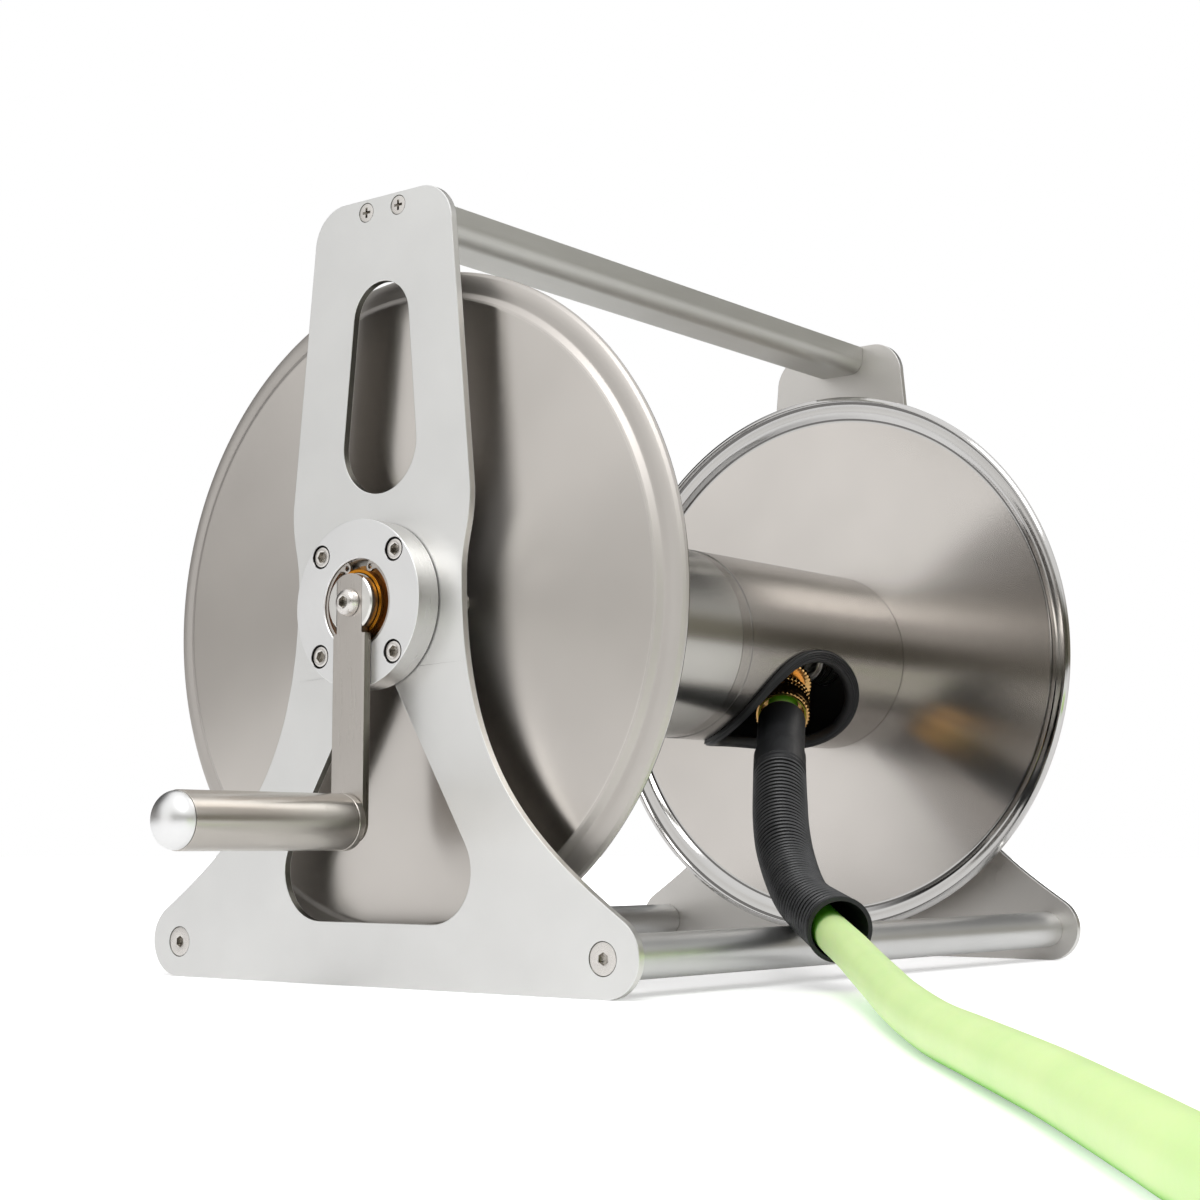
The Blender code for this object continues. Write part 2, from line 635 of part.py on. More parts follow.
def shafts(hub):
    """Stub shafts: the crank one holds the arm in a slot, the inlet one carries water."""
    shoulder = SHAFT_R + 4 * MM
    start = PLATE_INNER - 0.6 * MM
    inner_end = 161 * MM
    neck = [(start, SHAFT_R), (start, shoulder), (FLANGE_FACE + 0.9 * MM, shoulder),
            (FLANGE_FACE + 0.9 * MM, SHAFT_R), (inner_end, SHAFT_R)]
    hole = 4.6 * MM
    crank = [(201 * MM, 0), (201 * MM, hole), (SHAFT_END, hole), (SHAFT_END, SHAFT_R - 0.5 * MM),
             (SHAFT_END - 0.5 * MM, SHAFT_R)] + neck + [(inner_end, 0)]
    stub = turned("crank_shaft", crank, POLISHED_STEEL, rotation=facing(-1), parent=hub, segments=24)
    slot = bmesh.new()
    bmesh.ops.create_cube(slot, size=1)
    floor = SHAFT_END - ARM_THICK - GAP
    size = Vector((2 * (SHAFT_END - floor), TENON_WIDTH + 2 * GAP, 4 * SHAFT_R))
    bmesh.ops.transform(slot, matrix=Matrix.Diagonal((*size, 1)), verts=slot.verts[:])
    mesh = bpy.data.meshes.new("arm_slot_cutter")
    slot.to_mesh(mesh)
    slot.free()
    cut(stub, add_object("arm_slot_cutter", mesh, None, location=(-floor - size.x / 2, 0, 0), parent=hub))
    spigot = 10.5 * MM
    inlet = [(243 * MM, WATER_R), (243 * MM, spigot), (SHAFT_END, spigot), (SHAFT_END, SHAFT_R)]
    turned("inlet_shaft", inlet + neck + [(inner_end, WATER_R)], POLISHED_STEEL, closed=True,
           rotation=facing(1), parent=hub, segments=20)


def crank_arm(hub):
    """Flat bar: a narrow tenon in the shaft's slot, shoulders below it and a round end."""
    half, tenon = ARM_WIDTH / 2, TENON_WIDTH / 2
    top = SHAFT_R - 0.4 * MM
    lean = math.degrees(math.asin(tenon / top))
    shoulder = -(SHAFT_R + 0.3 * MM)
    outline = arc((0, 0), top, 90 - lean, 90 + lean, 4)
    outline += [(-tenon, shoulder), (-half, shoulder)]
    outline += arc((0, -CRANK_LENGTH), half, 180, 360, 10)
    outline += [(half, shoulder), (tenon, shoulder)]
    holes = [circle((0, 0), 4.6 * MM, 16), circle((0, -CRANK_LENGTH), SPINDLE_R + 0.4 * MM, 16)]
    flat_piece("crank_arm", [outline] + holes, ARM_THICK, BRUSHED_STEEL, parent=hub,
               location=(-(SHAFT_END - ARM_THICK / 2), 0, 0),
               rotation=(math.radians(90), 0, math.radians(90)))


def crank_grip(hub):
    """Spindle fixed in the arm, and a hollow grip that turns on it."""
    axis = frame_object("grip_axis", (0, 0, -CRANK_LENGTH), facing(-1), hub)
    back = SHAFT_END - ARM_THICK
    collar_end = GRIP_START + 4 * MM
    head, head_end = GRIP_END - 12 * MM, GRIP_END - 7 * MM
    spindle = [(head_end, 0), (head_end, 7.4 * MM), (head_end - 0.6 * MM, 8 * MM), (head, 8 * MM),
               (head, SPINDLE_R), (back, SPINDLE_R), (back, 0)]
    turned("grip_spindle", spindle, POLISHED_STEEL, segments=16, parent=axis)
    inside = GRIP_R - 1.6 * MM
    plug = inside - GAP
    run = SPINDLE_R + 0.5 * MM
    collar = [(collar_end + 8 * MM, run), (collar_end + 8 * MM, plug), (collar_end, plug),
              (collar_end, GRIP_R + 0.2 * MM), (GRIP_START, GRIP_R + 0.2 * MM), (GRIP_START, run)]
    turned("grip_collar", collar, POLISHED_STEEL, closed=True, segments=20, parent=axis)
    tube = [(GRIP_END, inside), (GRIP_END, GRIP_R), (collar_end + GAP, GRIP_R), (collar_end + GAP, inside)]
    turned("grip_tube", tube, BRUSHED_STEEL, closed=True, segments=20, parent=axis)
    inner_bush = [(head - GAP, run), (head - GAP, plug), (head - 10 * MM, plug), (head - 10 * MM, run)]
    turned("grip_bush", inner_bush, BLACK_RUBBER, closed=True, segments=20, parent=axis)
    dome = [(GRIP_END + GAP + DOME * math.cos(math.radians(a)), GRIP_R * math.sin(math.radians(a)))
            for a in range(0, 91, 18)]
    cap = dome + [(GRIP_END + GAP, plug), (GRIP_END - 6 * MM, plug), (GRIP_END - 6 * MM, 0)]
    turned("grip_cap", cap, POLISHED_STEEL, segments=20, parent=axis)


# Water way inside the core

def water_way():
    """A 45 degree elbow, then the tail piece and the knurled coupling nut along its outlet."""
    corner = 14 * MM
    start = ELBOW + Vector((18.7 * MM, 0, 0))
    end = ELBOW + OUTLET * 30 * MM
    bend = [ELBOW + Vector((corner, 0, 0)) * (1 - t) ** 2 + OUTLET * corner * t * t for t in
            [i / 4 for i in range(5)]]
    outer = tube_along("water_elbow", [start] + bend + [end], PIPE_R, BRASS)
    reach = Vector((4 * MM, 0, 0))
    bore = tube_along("elbow_bore", [start + reach] + bend + [end + OUTLET * 4 * MM], WATER_R, None)
    cut(outer, bore)
    turn = OUTLET.to_track_quat("Z", "Y").to_euler()
    place = {"location": ELBOW, "rotation": turn}
    tail = [(TAIL_END, WATER_R), (TAIL_END, 12 * MM), (50.5 * MM, 12 * MM), (50.5 * MM, NUT_R - 0.5 * MM),
            (47 * MM, NUT_R - 0.5 * MM), (47 * MM, 12 * MM), (34 * MM, 12 * MM), (34 * MM, NUT_R),
            (30.3 * MM, NUT_R), (30.3 * MM, WATER_R)]
    turned("tail_piece", tail, BRASS, closed=True, segments=16, **place)
    knurls = 18
    low, high = 51.5 * MM, NUT_FACE
    heights = [(low, 0.94), (low + 1.5 * MM, 1), (high - 2 * MM, 1), (high, 0.94)]
    rings = []
    for along, share in heights:
        points = []
        for i in range(2 * knurls):
            radius = NUT_R * share * (1 if i % 2 else 0.965)
            turn_step = math.pi * i / knurls
            points.append((radius * math.cos(turn_step), radius * math.sin(turn_step), along))
        rings.append(points)
    inside = [ring(12.6 * MM, along, 2 * knurls) for along in (high, low)]
    add_object("coupling_nut", lofted("coupling_nut", rings + inside, closed=True), BRASS, **place)


# Water inlet on the far side: a swivel elbow that hangs down, with its own coupling nut

def water_inlet():
    cup_r, cup_start, cup_end = 17 * MM, 227.8 * MM, 250 * MM
    bore = 12.7 * MM
    cup = [(cup_end, 0), (cup_end, cup_r - 3 * MM), (cup_end - 3 * MM, cup_r), (cup_start, cup_r),
           (cup_start, bore), (243.5 * MM, bore), (243.5 * MM, 0)]
    elbow = turned("inlet_swivel", cup, BRASS, location=(0, 0, HUB_Z), rotation=facing(1), segments=20)
    branch_x = 239 * MM
    stem = [(-13.5 * MM, 9 * MM), (-36 * MM, 9 * MM), (-36 * MM, 12.5 * MM), (-40 * MM, 12.5 * MM)]
    down = round_cutter("inlet_branch", [(branch_x, 0)], list(reversed(stem)), count=16,
                        location=(0, 0, HUB_Z))
    cut(elbow, down, "UNION")
    way = round_cutter("inlet_way", [(branch_x, 0)], [(-45 * MM, 6.5 * MM), (-11 * MM, 6.5 * MM)], count=12,
                       location=(0, 0, HUB_Z))
    cut(elbow, way)
    seal = [(235.7 * MM + 0.9 * MM * math.cos(a), 11.6 * MM + 0.8 * MM * math.sin(a))
            for a in [math.radians(72 * i) for i in range(5)]]
    turned("inlet_seal", seal, BLACK_RUBBER, closed=True, location=(0, 0, HUB_Z), rotation=facing(1),
           segments=16)
    inside, grip_low, grip_high = 13 * MM, -60 * MM, -41 * MM
    count = 14
    rings = []
    for along, share in ((grip_low, 1), (grip_high, 1)):
        rings.append([(16.5 * MM * share * (1 if i % 2 else 0.965) * math.cos(math.pi * i / count),
                       16.5 * MM * share * (1 if i % 2 else 0.965) * math.sin(math.pi * i / count), along)
                      for i in range(2 * count)])
    rings += [ring(radius, along, 2 * count) for along, radius in
              ((grip_high, inside), (grip_low, inside))]
    add_object("inlet_nut", lofted("inlet_nut", rings, closed=True), BRASS, location=(branch_x, 0, HUB_Z))


# Hose

def smooth_path(points):
    """A dense smooth path through the points."""
    ends = [points[0] * 2 - points[1]] + points + [points[-1] * 2 - points[-2]]
    path = []
    for a, b, c, d in zip(ends, ends[1:], ends[2:], ends[3:]):
        for i in range(16):
            t = i / 16
            path.append(0.5 * (2 * b + (c - a) * t + (2 * a - 5 * b + 4 * c - d) * t * t
                               + (3 * b - a - 3 * c + d) * t ** 3))
    return path + [points[-1]]


def path_length(path):
    return sum((b - a).length for a, b in zip(path, path[1:]))


def along_path(path, stations):
    """Points at the given distances along a path, which rise."""
    found, passed = [], 0.0
    stations = list(stations)
    for a, b in zip(path, path[1:]):
        step = (b - a).length
        while stations and passed + step >= stations[0]:
            found.append(a.lerp(b, (stations.pop(0) - passed) / step))
        passed += step
    return found + [path[-1]] * len(stations)


def coil_point(turns):
    """Centre line of the coil: inward along the ground, up half a turn, and outward on top."""
    if turns <= COIL_TURNS_IN:
        inward, height = turns, 0.0
    elif turns <= COIL_TURNS_IN + COIL_CLIMB:
        share = (turns - COIL_TURNS_IN) / COIL_CLIMB
        inward = COIL_TURNS_IN + COIL_CLIMB / math.pi * math.sin(math.pi * share)
        height = (1 - math.cos(math.pi * share)) / 2
    else:
        inward, height = 2 * COIL_TURNS_IN + COIL_CLIMB - turns, 1.0
    radius = COIL_OUTER - COIL_PITCH * inward
    angle = math.pi + 2 * math.pi * turns
    return Vector((COIL_CENTRE[0] + radius * math.cos(angle), COIL_CENTRE[1] + radius * math.sin(angle),
                   ROUTE_MM[-1][2] * MM + COIL_LAYER * height))


def coil_start():
    """The coil's first point: a straight piece before its first turn."""
    return coil_point(0) + Vector((0, 2 * HOSE_R, 0))


def lead_path():
    """From inside the coupling nut, out through the sleeve, to where the coil begins."""
    start = [ELBOW + OUTLET * (TAIL_END + along * MM) for along in (0.4, 10, 21)]
    return smooth_path(start + [Vector(point) * MM for point in ROUTE_MM] + [coil_start()])


def coil_points(length):
    """Points of one unbroken coil with this length.  Its straight end leads up and out for its fitting."""
    tail = 2 * HOSE_R
    points, total, i = [coil_start(), coil_point(0)], 2 * HOSE_R, 0
    while total < length - tail:
        i += 1
        points.append(coil_point(i / COIL_STEPS))
        total += (points[-1] - points[-2]).length
    over = total - (length - tail)
    points[-1] = points[-1].lerp(points[-2], over / (points[-1] - points[-2]).length)
    out = Vector((points[-1].x - COIL_CENTRE[0], points[-1].y - COIL_CENTRE[1], 0)).normalized()
    straight = (points[-1] - points[-2]).normalized() + out * 0.12 + Vector((0, 0, 0.12))
    return points + [points[-1] + straight * tail]


def least_gap(points, radius):
    """Smallest clear distance between parts of a tube that aren't neighbours along it."""
    found = 1.0
    for i in range(len(points) - 1):
        middle = (points[i] + points[i + 1]) / 2
        for j in range(i + 6, len(points) - 1):
            a, b = points[j], points[j + 1]
            share = max(0.0, min(1.0, (middle - a).dot(b - a) / (b - a).length_squared))
            found = min(found, (middle - a.lerp(b, share)).length)
            share = max(0.0, min(1.0, (points[i] - a).dot(b - a) / (b - a).length_squared))
            found = min(found, (points[i] - a.lerp(b, share)).length)
    return found - 2 * radius


def size_at(shape, along):
    """A radius at a distance along the hose, from (distance, radius) pairs in millimetres."""
    for (a, low), (b, high) in zip(shape, shape[1:]):
        if along <= b * MM:
            return (low + (high - low) * max(0.0, (along / MM - a) / (b - a))) * MM
    return shape[-1][1] * MM


def sleeve_line(path, stations):
    """The guard's centre line: the hose's, lifted toward the mouth."""
    found = []
    for point, along in zip(along_path(path, stations), stations):
        share = max(0.0, min(1.0, (along - 225 * MM) / (65 * MM)))
        found.append(point + MOUTH_LIFT * share * share * (3 - 2 * share))
    return found


def bend_sleeve(path):
    """Ribbed guard over the hose: a smooth neck, ribs made of two rings each, and an open mouth."""
    first = SLEEVE_START + SLEEVE_NECK
    stations = [SLEEVE_START, SLEEVE_START + SLEEVE_NECK / 2, first - 3 * MM]
    radii = [SLEEVE_R, SLEEVE_R, SLEEVE_R]
    for i in range(RIBS):
        foot, crest = first + RIB_PITCH * i, first + RIB_PITCH * (i + 0.5)
        stations += [foot, crest]
        radii += [size_at(RIB_SHAPE, foot) - RIB_DEEP, size_at(RIB_SHAPE, crest)]
    end = first + RIB_PITCH * RIBS
    stations += [end, end + 2.5 * MM]
    radii += [size_at(RIB_SHAPE, end), size_at(RIB_SHAPE, end) + 0.2 * MM]
    largest = max(radii)
    shares = [radius / largest for radius in radii]
    sleeve = tube_along("bend_sleeve", sleeve_line(path, stations), largest, BLACK_RUBBER, shares)
    reach = [SLEEVE_START + (end + 2.5 * MM - SLEEVE_START) * i / 18 for i in range(19)]
    inside = sleeve_line(path, reach)
    first_way = (inside[0] - inside[1]).normalized() * 4 * MM
    last_way = (inside[-1] - inside[-2]).normalized() * 4 * MM
    inside = [inside[0] + first_way] + inside[1:-1] + [inside[-1] + last_way]
    widest = size_at(BORE_SHAPE, end)
    ways = [size_at(BORE_SHAPE, along) / widest for along in reach]
    cut(sleeve, tube_along("sleeve_bore", inside, widest, None, ways))
    return end + 2.5 * MM


def hose():
    path = lead_path()
    lead = path_length(path)
    covered = bend_sleeve(path)
    stations = [0, 9 * MM, 18 * MM]
    while stations[-1] < covered + 20 * MM:
        stations.append(stations[-1] + 16 * MM)
    open_run = lead - stations[-1]
    steps = round(open_run / (2.2 * 2 * HOSE_R))
    stations += [stations[-1] + open_run * i / steps for i in range(1, steps)]
    points = along_path(path, stations) + [path[-1]]
    last = points[-1] - points[-2]
    points[-1] = points[-1] - last.normalized() * 0.4 * MM
    tube_along("hose_lead", points, HOSE_R, GREEN_HOSE)
    coil = coil_points(HOSE_LENGTH - lead)
    tube_along("hose_coil", coil, HOSE_R, GREEN_HOSE, bevel=1)
    gap = least_gap(coil, HOSE_R)
    print("hose lead %.3f m, coil %.3f m, least gap in the coil %.2f mm"
          % (lead, path_length(coil), gap / MM))
    way = (coil[-1] - coil[-2]).normalized()
    bore, body, collar, ferrule = 6.5 * MM, 11 * MM, 13 * MM, 10.2 * MM
    fitting = [(COUPLING_LENGTH, bore), (COUPLING_LENGTH, body), (26 * MM, body), (26 * MM, collar),
               (20 * MM, collar), (20 * MM, ferrule), (0.4 * MM, ferrule), (0.4 * MM, bore)]
    turned("hose_end", fitting, BRASS, closed=True, segments=16, location=coil[-1],
           rotation=way.to_track_quat("Z", "Y").to_euler())


def main():
    hub = frame_object("drum_axis", (0, 0, HUB_Z))
    meshes = screw_meshes()
    for side, word in ((-1, "crank"), (1, "inlet")):
        side_plate(side, word)
        bearing_housing(side, word)
        bush(side, word)
        circlip(side, word)
        flange(side, word, hub)
        flange_screws(side, word, meshes["flange"], hub)
    base_rod("base_rod_front", -ROD_Y)
    base_rod("base_rod_rear", ROD_Y)
    carry_handle()
    frame_screws(meshes)
    drum_core(hub)
    opening_trim(hub)
    shafts(hub)
    crank_arm(hub)
    add_object("arm_screw", meshes["arm"], POLISHED_STEEL, location=(-(SHAFT_END + 4.5 * MM), 0, 0),
               rotation=facing(-1), parent=hub)
    crank_grip(hub)
    water_way()
    water_inlet()
    hose()
    for thing in bpy.data.objects:
        if thing.parent is None:
            thing.location.x += MIDDLE_X


main()
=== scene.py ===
"""Looks of the garden hose reel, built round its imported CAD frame.

Lengths of pieces are in millimetres, and the helpers that make meshes turn them into metres.
Pieces are drawn from the middle between the plates, as in the CAD source, and MIDDLE then
moves them to the CAD's origin.  Camera, lamp, floor and shader nodes are in metres.
"""
from math import asin, atan2, cos, degrees, hypot, pi, radians, sin, sqrt, tan

import bmesh
import bpy
from mathutils import Matrix, Vector
from mathutils.geometry import interpolate_bezier

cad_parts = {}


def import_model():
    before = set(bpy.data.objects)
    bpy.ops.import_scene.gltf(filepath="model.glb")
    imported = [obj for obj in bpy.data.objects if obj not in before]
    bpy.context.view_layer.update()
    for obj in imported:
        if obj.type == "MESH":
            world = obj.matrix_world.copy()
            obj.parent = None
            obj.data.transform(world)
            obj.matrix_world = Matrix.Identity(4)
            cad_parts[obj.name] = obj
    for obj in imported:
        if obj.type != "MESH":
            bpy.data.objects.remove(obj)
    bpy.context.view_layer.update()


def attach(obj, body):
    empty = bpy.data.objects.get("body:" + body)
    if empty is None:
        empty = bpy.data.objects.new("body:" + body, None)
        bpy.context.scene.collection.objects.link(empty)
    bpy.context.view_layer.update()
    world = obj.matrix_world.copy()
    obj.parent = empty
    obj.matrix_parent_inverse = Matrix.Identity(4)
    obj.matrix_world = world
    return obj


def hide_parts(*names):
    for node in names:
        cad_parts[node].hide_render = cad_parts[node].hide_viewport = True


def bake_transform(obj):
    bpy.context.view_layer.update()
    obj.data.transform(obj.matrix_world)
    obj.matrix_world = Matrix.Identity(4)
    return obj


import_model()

MM = 0.001
MIDDLE = Vector((41.1, 0, 0))
HUB_Z = 178

PLATE_OUTER = 208.5
PLATE_THICK = 4
PLATE_INNER = PLATE_OUTER - PLATE_THICK
PLATE_HEIGHT = 378
PLATE_TOP_R = 20
FOOT_Y = 137.5
FOOT_R = 18
ROD_Y = 136
ROD_Z = 17.3
ROD_R = 10
ROD_BORE_R = 4.4
HANDLE_HALF = 18.3
HANDLE_TOP = 377.2
HANDLE_DEPTH = 16.6
HANDLE_ROUND = 9
HOUSING_R = 40
HOUSING_FACE = 222.5
SPIGOT_R = 25.6
BORE_R = 21.2
BUSH_R = 20.8
NOSE_R = 16
SHAFT_R = 14.2
SCREW_AT = 23.8
FLANGE_R = 165
FLANGE_FACE = 191
FLANGE_SCREW_AT = 38
CORE_R = 53.2
CORE_WALL = 1.6
CORE_END = FLANGE_FACE - 1.8
OPENING_X = 96.8
OPENING_TURN = radians(143.7)
OPENING_HALF_X = 51.6
OPENING_HALF_TURN = radians(47)
SHAFT_END = 227.1
SHAFT_INNER_END = 161
ARM_THICK = 4.2
ARM_WIDTH = 20.5
TENON_WIDTH = 16.2
CRANK_LENGTH = 102
GRIP_R = 13.1
GRIP_START = 227.5
GRIP_END = 328
DOME = 9
ELBOW_X = 142
ELBOW_R = 12.5
WATER_R = 8.5
TAIL_START = 30.3  # along the outlet, from the elbow's corner
TAIL_R = 15.7
TAIL_END = 56
NUT_START = 51.5
NUT_FACE = 67.7
KNURL_DEEP = 0.035  # share of the radius
BRANCH_X = 239
HOSE_R = 8.75
HOSE_LENGTH = 7.6  # metres
HOSE_STEP = 6
SLEEVE_START = 15  # along the hose, from its start
SLEEVE_NECK = 41
SLEEVE_R = 13.6
RIBS = 57
RIBS_LONG = 231.9
RIB_DEEP = 1.5
RIB_FADE = 3  # ribs without depth, and ribs over which the depth then grows
RIB_SHAPE = [(56, 14.5), (110, 14.8), (150, 14.6), (235, 13.2), (250, 13.3), (291, 15.2)]
BORE_SHAPE = [(0, 11.2), (255, 11.2), (291, 13.3)]
MOUTH_LIFT = Vector((1.1, -1.9, 2.5))
MOUTH_FROM, MOUTH_OVER = 225, 65
COUPLING_LENGTH = 46
COIL_CENTRE = (-471, -735)
COIL_OUTER = 162
COIL_PITCH = 18.3
COIL_LAYER = 18.3
COIL_TURNS_IN = 4
COIL_CLIMB = 0.5
COIL_STEPS = 21  # points of the CAD's coil in each turn
COIL_FINE_STEPS = 72

SLANT = sqrt(0.5)
OUTLET = Vector((-SLANT, -SLANT * sin(OPENING_TURN), SLANT * cos(OPENING_TURN)))
ELBOW = Vector((ELBOW_X, 0, HUB_Z))

ROUTE = [
    (62.8, -47.2, 113.7), (46.8, -57.6, 100.9), (29, -69.5, 88), (11.4, -81.6, 76.5),
    (-8.5, -96.5, 64.6), (-27.6, -112.5, 53.6), (-49.8, -131.3, 44.6), (-70, -149.9, 37.3),
    (-86.1, -167.3, 30.7), (-101.7, -185.4, 24.8), (-127.1, -209.2, 20), (-165.7, -240.6, 15.5),
    (-213.6, -277, 12.4), (-270.3, -318.5, 10.3), (-336.7, -369.3, 8.9), (-388.7, -412.3, 8.9),
    (-453.2, -465.9, 8.9), (-495.6, -499.1, 8.9), (-530.8, -526.2, 8.9), (-559.7, -548.5, 8.9),
    (-592, -577.5, 8.9), (-620, -617, 8.9), (-632.4, -666, 8.9)]


# Camera, light and floor

CAMERA_AT = (-0.8877, -0.7051, 0.0651)
CAMERA_TILT, CAMERA_TURN = 6.588, -51.62
CAMERA_LENS = 63.9
WHITE = (1, 1, 1, 1)
SKY = [(0, 0.7), (0.5, (0.86, 0.85, 0.83)), (0.62, (0.95, 0.95, 0.94)), (1, 1)]
SOFT_LIGHT = 0.92
# Darker parts of the room that gloss sees: direction, its reach, heights and colour
WALLS = [
    ((0.72, 0.69, 0), [(0, 0), (0.45, 1)],
     [(0.48, 0), (0.525, 1), (0.8, 1), (0.93, 0)], (0.012, 0.011, 0.01)),
    ((0.72, -0.69, 0), [(0.2, 0), (0.7, 1)],
     [(0.46, 0), (0.51, 1), (0.6, 1), (0.7, 0)], (0.22, 0.205, 0.16)),
    ((-0.8, -0.6, 0), [(0.5, 0), (0.85, 1)],
     [(0.42, 0), (0.5, 1), (0.6, 1), (0.7, 0)], (0.09, 0.085, 0.06)),
    ((-0.26, 0.966, 0), [(0.81, 0), (0.94, 1)],
     [(0.46, 0), (0.5, 1), (0.58, 1), (0.68, 0)], (0.16, 0.15, 0.14)),
]
FLOOR_HALF = 9
FLOOR_GLOW = [(0, 0.3), (0.55, 0.34), (1, 1)]  # over the distance from the middle


def placed(name, data, location=(0, 0, 0), rotation=(0, 0, 0)):
    made = bpy.data.objects.new(name, data)
    made.location = location
    made.rotation_euler = rotation
    bpy.context.scene.collection.objects.link(made)
    return made


def camera():
    data = bpy.data.cameras.new("camera")
    data.sensor_width = 36
    data.lens = CAMERA_LENS
    data.clip_start = 0.01
    turn = (radians(90 + CAMERA_TILT), 0, radians(CAMERA_TURN))
    bpy.context.scene.camera = placed("camera", data, CAMERA_AT, turn)


class Now:
    """The node tree that feed, node and ramp work on."""
    tree = None


def feed(inputs, made=None):
    """Set inputs of a node, or of the look's shader, to values or link sockets to them."""
    made = made or Now.tree.nodes["Principled BSDF"]
    for key, value in inputs.items():
        if isinstance(value, bpy.types.NodeSocket):
            Now.tree.links.new(value, made.inputs[key])
        else:
            made.inputs[key].default_value = value


def node(kind, inputs=None, **settings):
    """Make a shader node and hand back its outputs."""
    made = Now.tree.nodes.new("ShaderNode" + kind)
    for key, value in settings.items():
        setattr(made, key, value)
    feed(inputs or {}, made)
    return made.outputs


def ramp(source, stops, smooth=True):
    made = Now.tree.nodes.new("ShaderNodeValToRGB")
    made.color_ramp.interpolation = "EASE" if smooth else "LINEAR"
    while len(made.color_ramp.elements) < len(stops):
        made.color_ramp.elements.new(0.5)
    for element, (place, value) in zip(made.color_ramp.elements, stops):
        element.position = place
        element.color = (*value, 1) if isinstance(value, tuple) else (value, value, value, 1)
    feed({0: source}, made)
    return made.outputs[0]


def world():
    """White for the camera.  Gloss sees a white room whose low part is darker, most at one side."""
    made = bpy.data.worlds.new("world")
    bpy.context.scene.world = made
    made.use_nodes = True
    Now.tree = made.node_tree
    Now.tree.nodes.clear()
    where = node("TexCoord")["Generated"]
    height = node("SeparateXYZ", {0: where})["Z"]
    lift = node("Math", {0: height, 1: 0.5, 2: 0.5}, operation="MULTIPLY_ADD")[0]
    colour = ramp(lift, SKY)
    for way, reach, heights, shade in WALLS:
        side = node("VectorMath", {0: where, 1: way}, operation="DOT_PRODUCT")["Value"]
        both = {0: ramp(lift, heights), 1: ramp(side, reach)}
        share = node("Math", both, operation="MULTIPLY")[0]
        colour = node("Mix", {0: share, 6: colour, 7: (*shade, 1)}, data_type="RGBA")[2]
    room = node("Background", {0: colour})[0]
    plain = node("Background", {0: WHITE, 1: SOFT_LIGHT})[0]
    white = node("Background", {0: WHITE})[0]
    path = node("LightPath")
    gloss = node("MixShader", {0: path["Is Glossy Ray"], 1: plain, 2: room})[0]
    seen = node("MixShader", {0: path["Is Camera Ray"], 1: gloss, 2: white})[0]
    node("OutputWorld", {0: seen})


def lamp():
    data = bpy.data.lights.new("key", "AREA")
    data.shape = "DISK"
    data.size = 1.6
    data.energy = 26
    place, target = Vector((-1.6, -1, 2.4)), Vector((0, 0, 0.15))
    placed("key", data, place, (target - place).to_track_quat("-Z", "Y").to_euler())


def floor():
    mesh = bpy.data.meshes.new("floor")
    corners = [(FLOOR_HALF * x, FLOOR_HALF * y, 0) for x, y in ((-1, -1), (1, -1), (1, 1), (-1, 1))]
    mesh.from_pydata(corners, [], [(0, 1, 2, 3)])
    made = placed("floor", mesh)
    look, where = start_look("floor", (0.93, 0.93, 0.93), 0.7, 0.0)
    far = node("VectorMath", {0: where}, operation="LENGTH")["Value"]
    both = {0: ramp(far, FLOOR_GLOW), 1: node("LightPath")["Is Camera Ray"]}
    seen = node("Math", both, operation="MULTIPLY")[0]
    feed({"Specular IOR Level": 0.1, "Emission Color": WHITE, "Emission Strength": seen})
    mesh.materials.append(look)


# Materials

def start_look(name, colour, roughness, metallic):
    look = bpy.data.materials.new(name)
    look.use_nodes = True
    Now.tree = look.node_tree
    feed({"Base Color": (*colour, 1), "Roughness": roughness, "Metallic": metallic})
    return look, node("TexCoord")["Object"]


def scaled(where, scale):
    return node("Mapping", {0: where, "Scale": scale})[0]


def polar(where, around, out):
    """(radius, turn, along) about the local Z axis, each scaled, for rings turned or brushed."""
    split = node("SeparateXYZ", {0: where})
    turn = node("Math", {0: split["Y"], 1: split["X"]}, operation="ARCTAN2")[0]
    flat = node("VectorMath", {0: where, 1: (1, 1, 0)}, operation="MULTIPLY")[0]
    size = node("VectorMath", {0: flat}, operation="LENGTH")["Value"]
    join = node("CombineXYZ", {0: size, 1: turn, 2: split["Z"]})[0]
    return scaled(join, (out, around, out))


def grain(vector, scale, detail=2.0, rough=0.5):
    return node("TexNoise", {0: vector, "Scale": scale, "Detail": detail, "Roughness": rough})[0]


def vary(source, low, high):
    spread = node("MapRange", {0: source, 1: 0.25, 2: 0.75, 3: low, 4: high})[0]
    feed({"Roughness": spread})


def tint(source, colour, low, high, lift=0.0):
    """Let the colour wander between low and high times itself."""
    dark = tuple(c * low for c in colour)
    light = tuple(min(1.0, c * high + lift) for c in colour)
    made = ramp(source, [(0.3, dark), (0.7, light)], smooth=False)
    feed({"Base Color": made})
    return made


def bump(source, depth, strength):
    made = node("Bump", {"Strength": strength, "Distance": depth, "Height": source})[0]
    feed({"Normal": made})


def satin_metal(name, colour, roughness, stretch):
    """Fine matt grain drawn out along one direction, with faint cloudy patches."""
    look, where = start_look(name, colour, roughness, 1.0)
    fine = grain(scaled(where, stretch), 1.0, 3.0, 0.6)
    tint(grain(where, 18.0, 3.0), colour, 0.965, 1.025)
    vary(fine, roughness - 0.05, roughness + 0.06)
    bump(fine, 1e-5, 0.5)
    return look


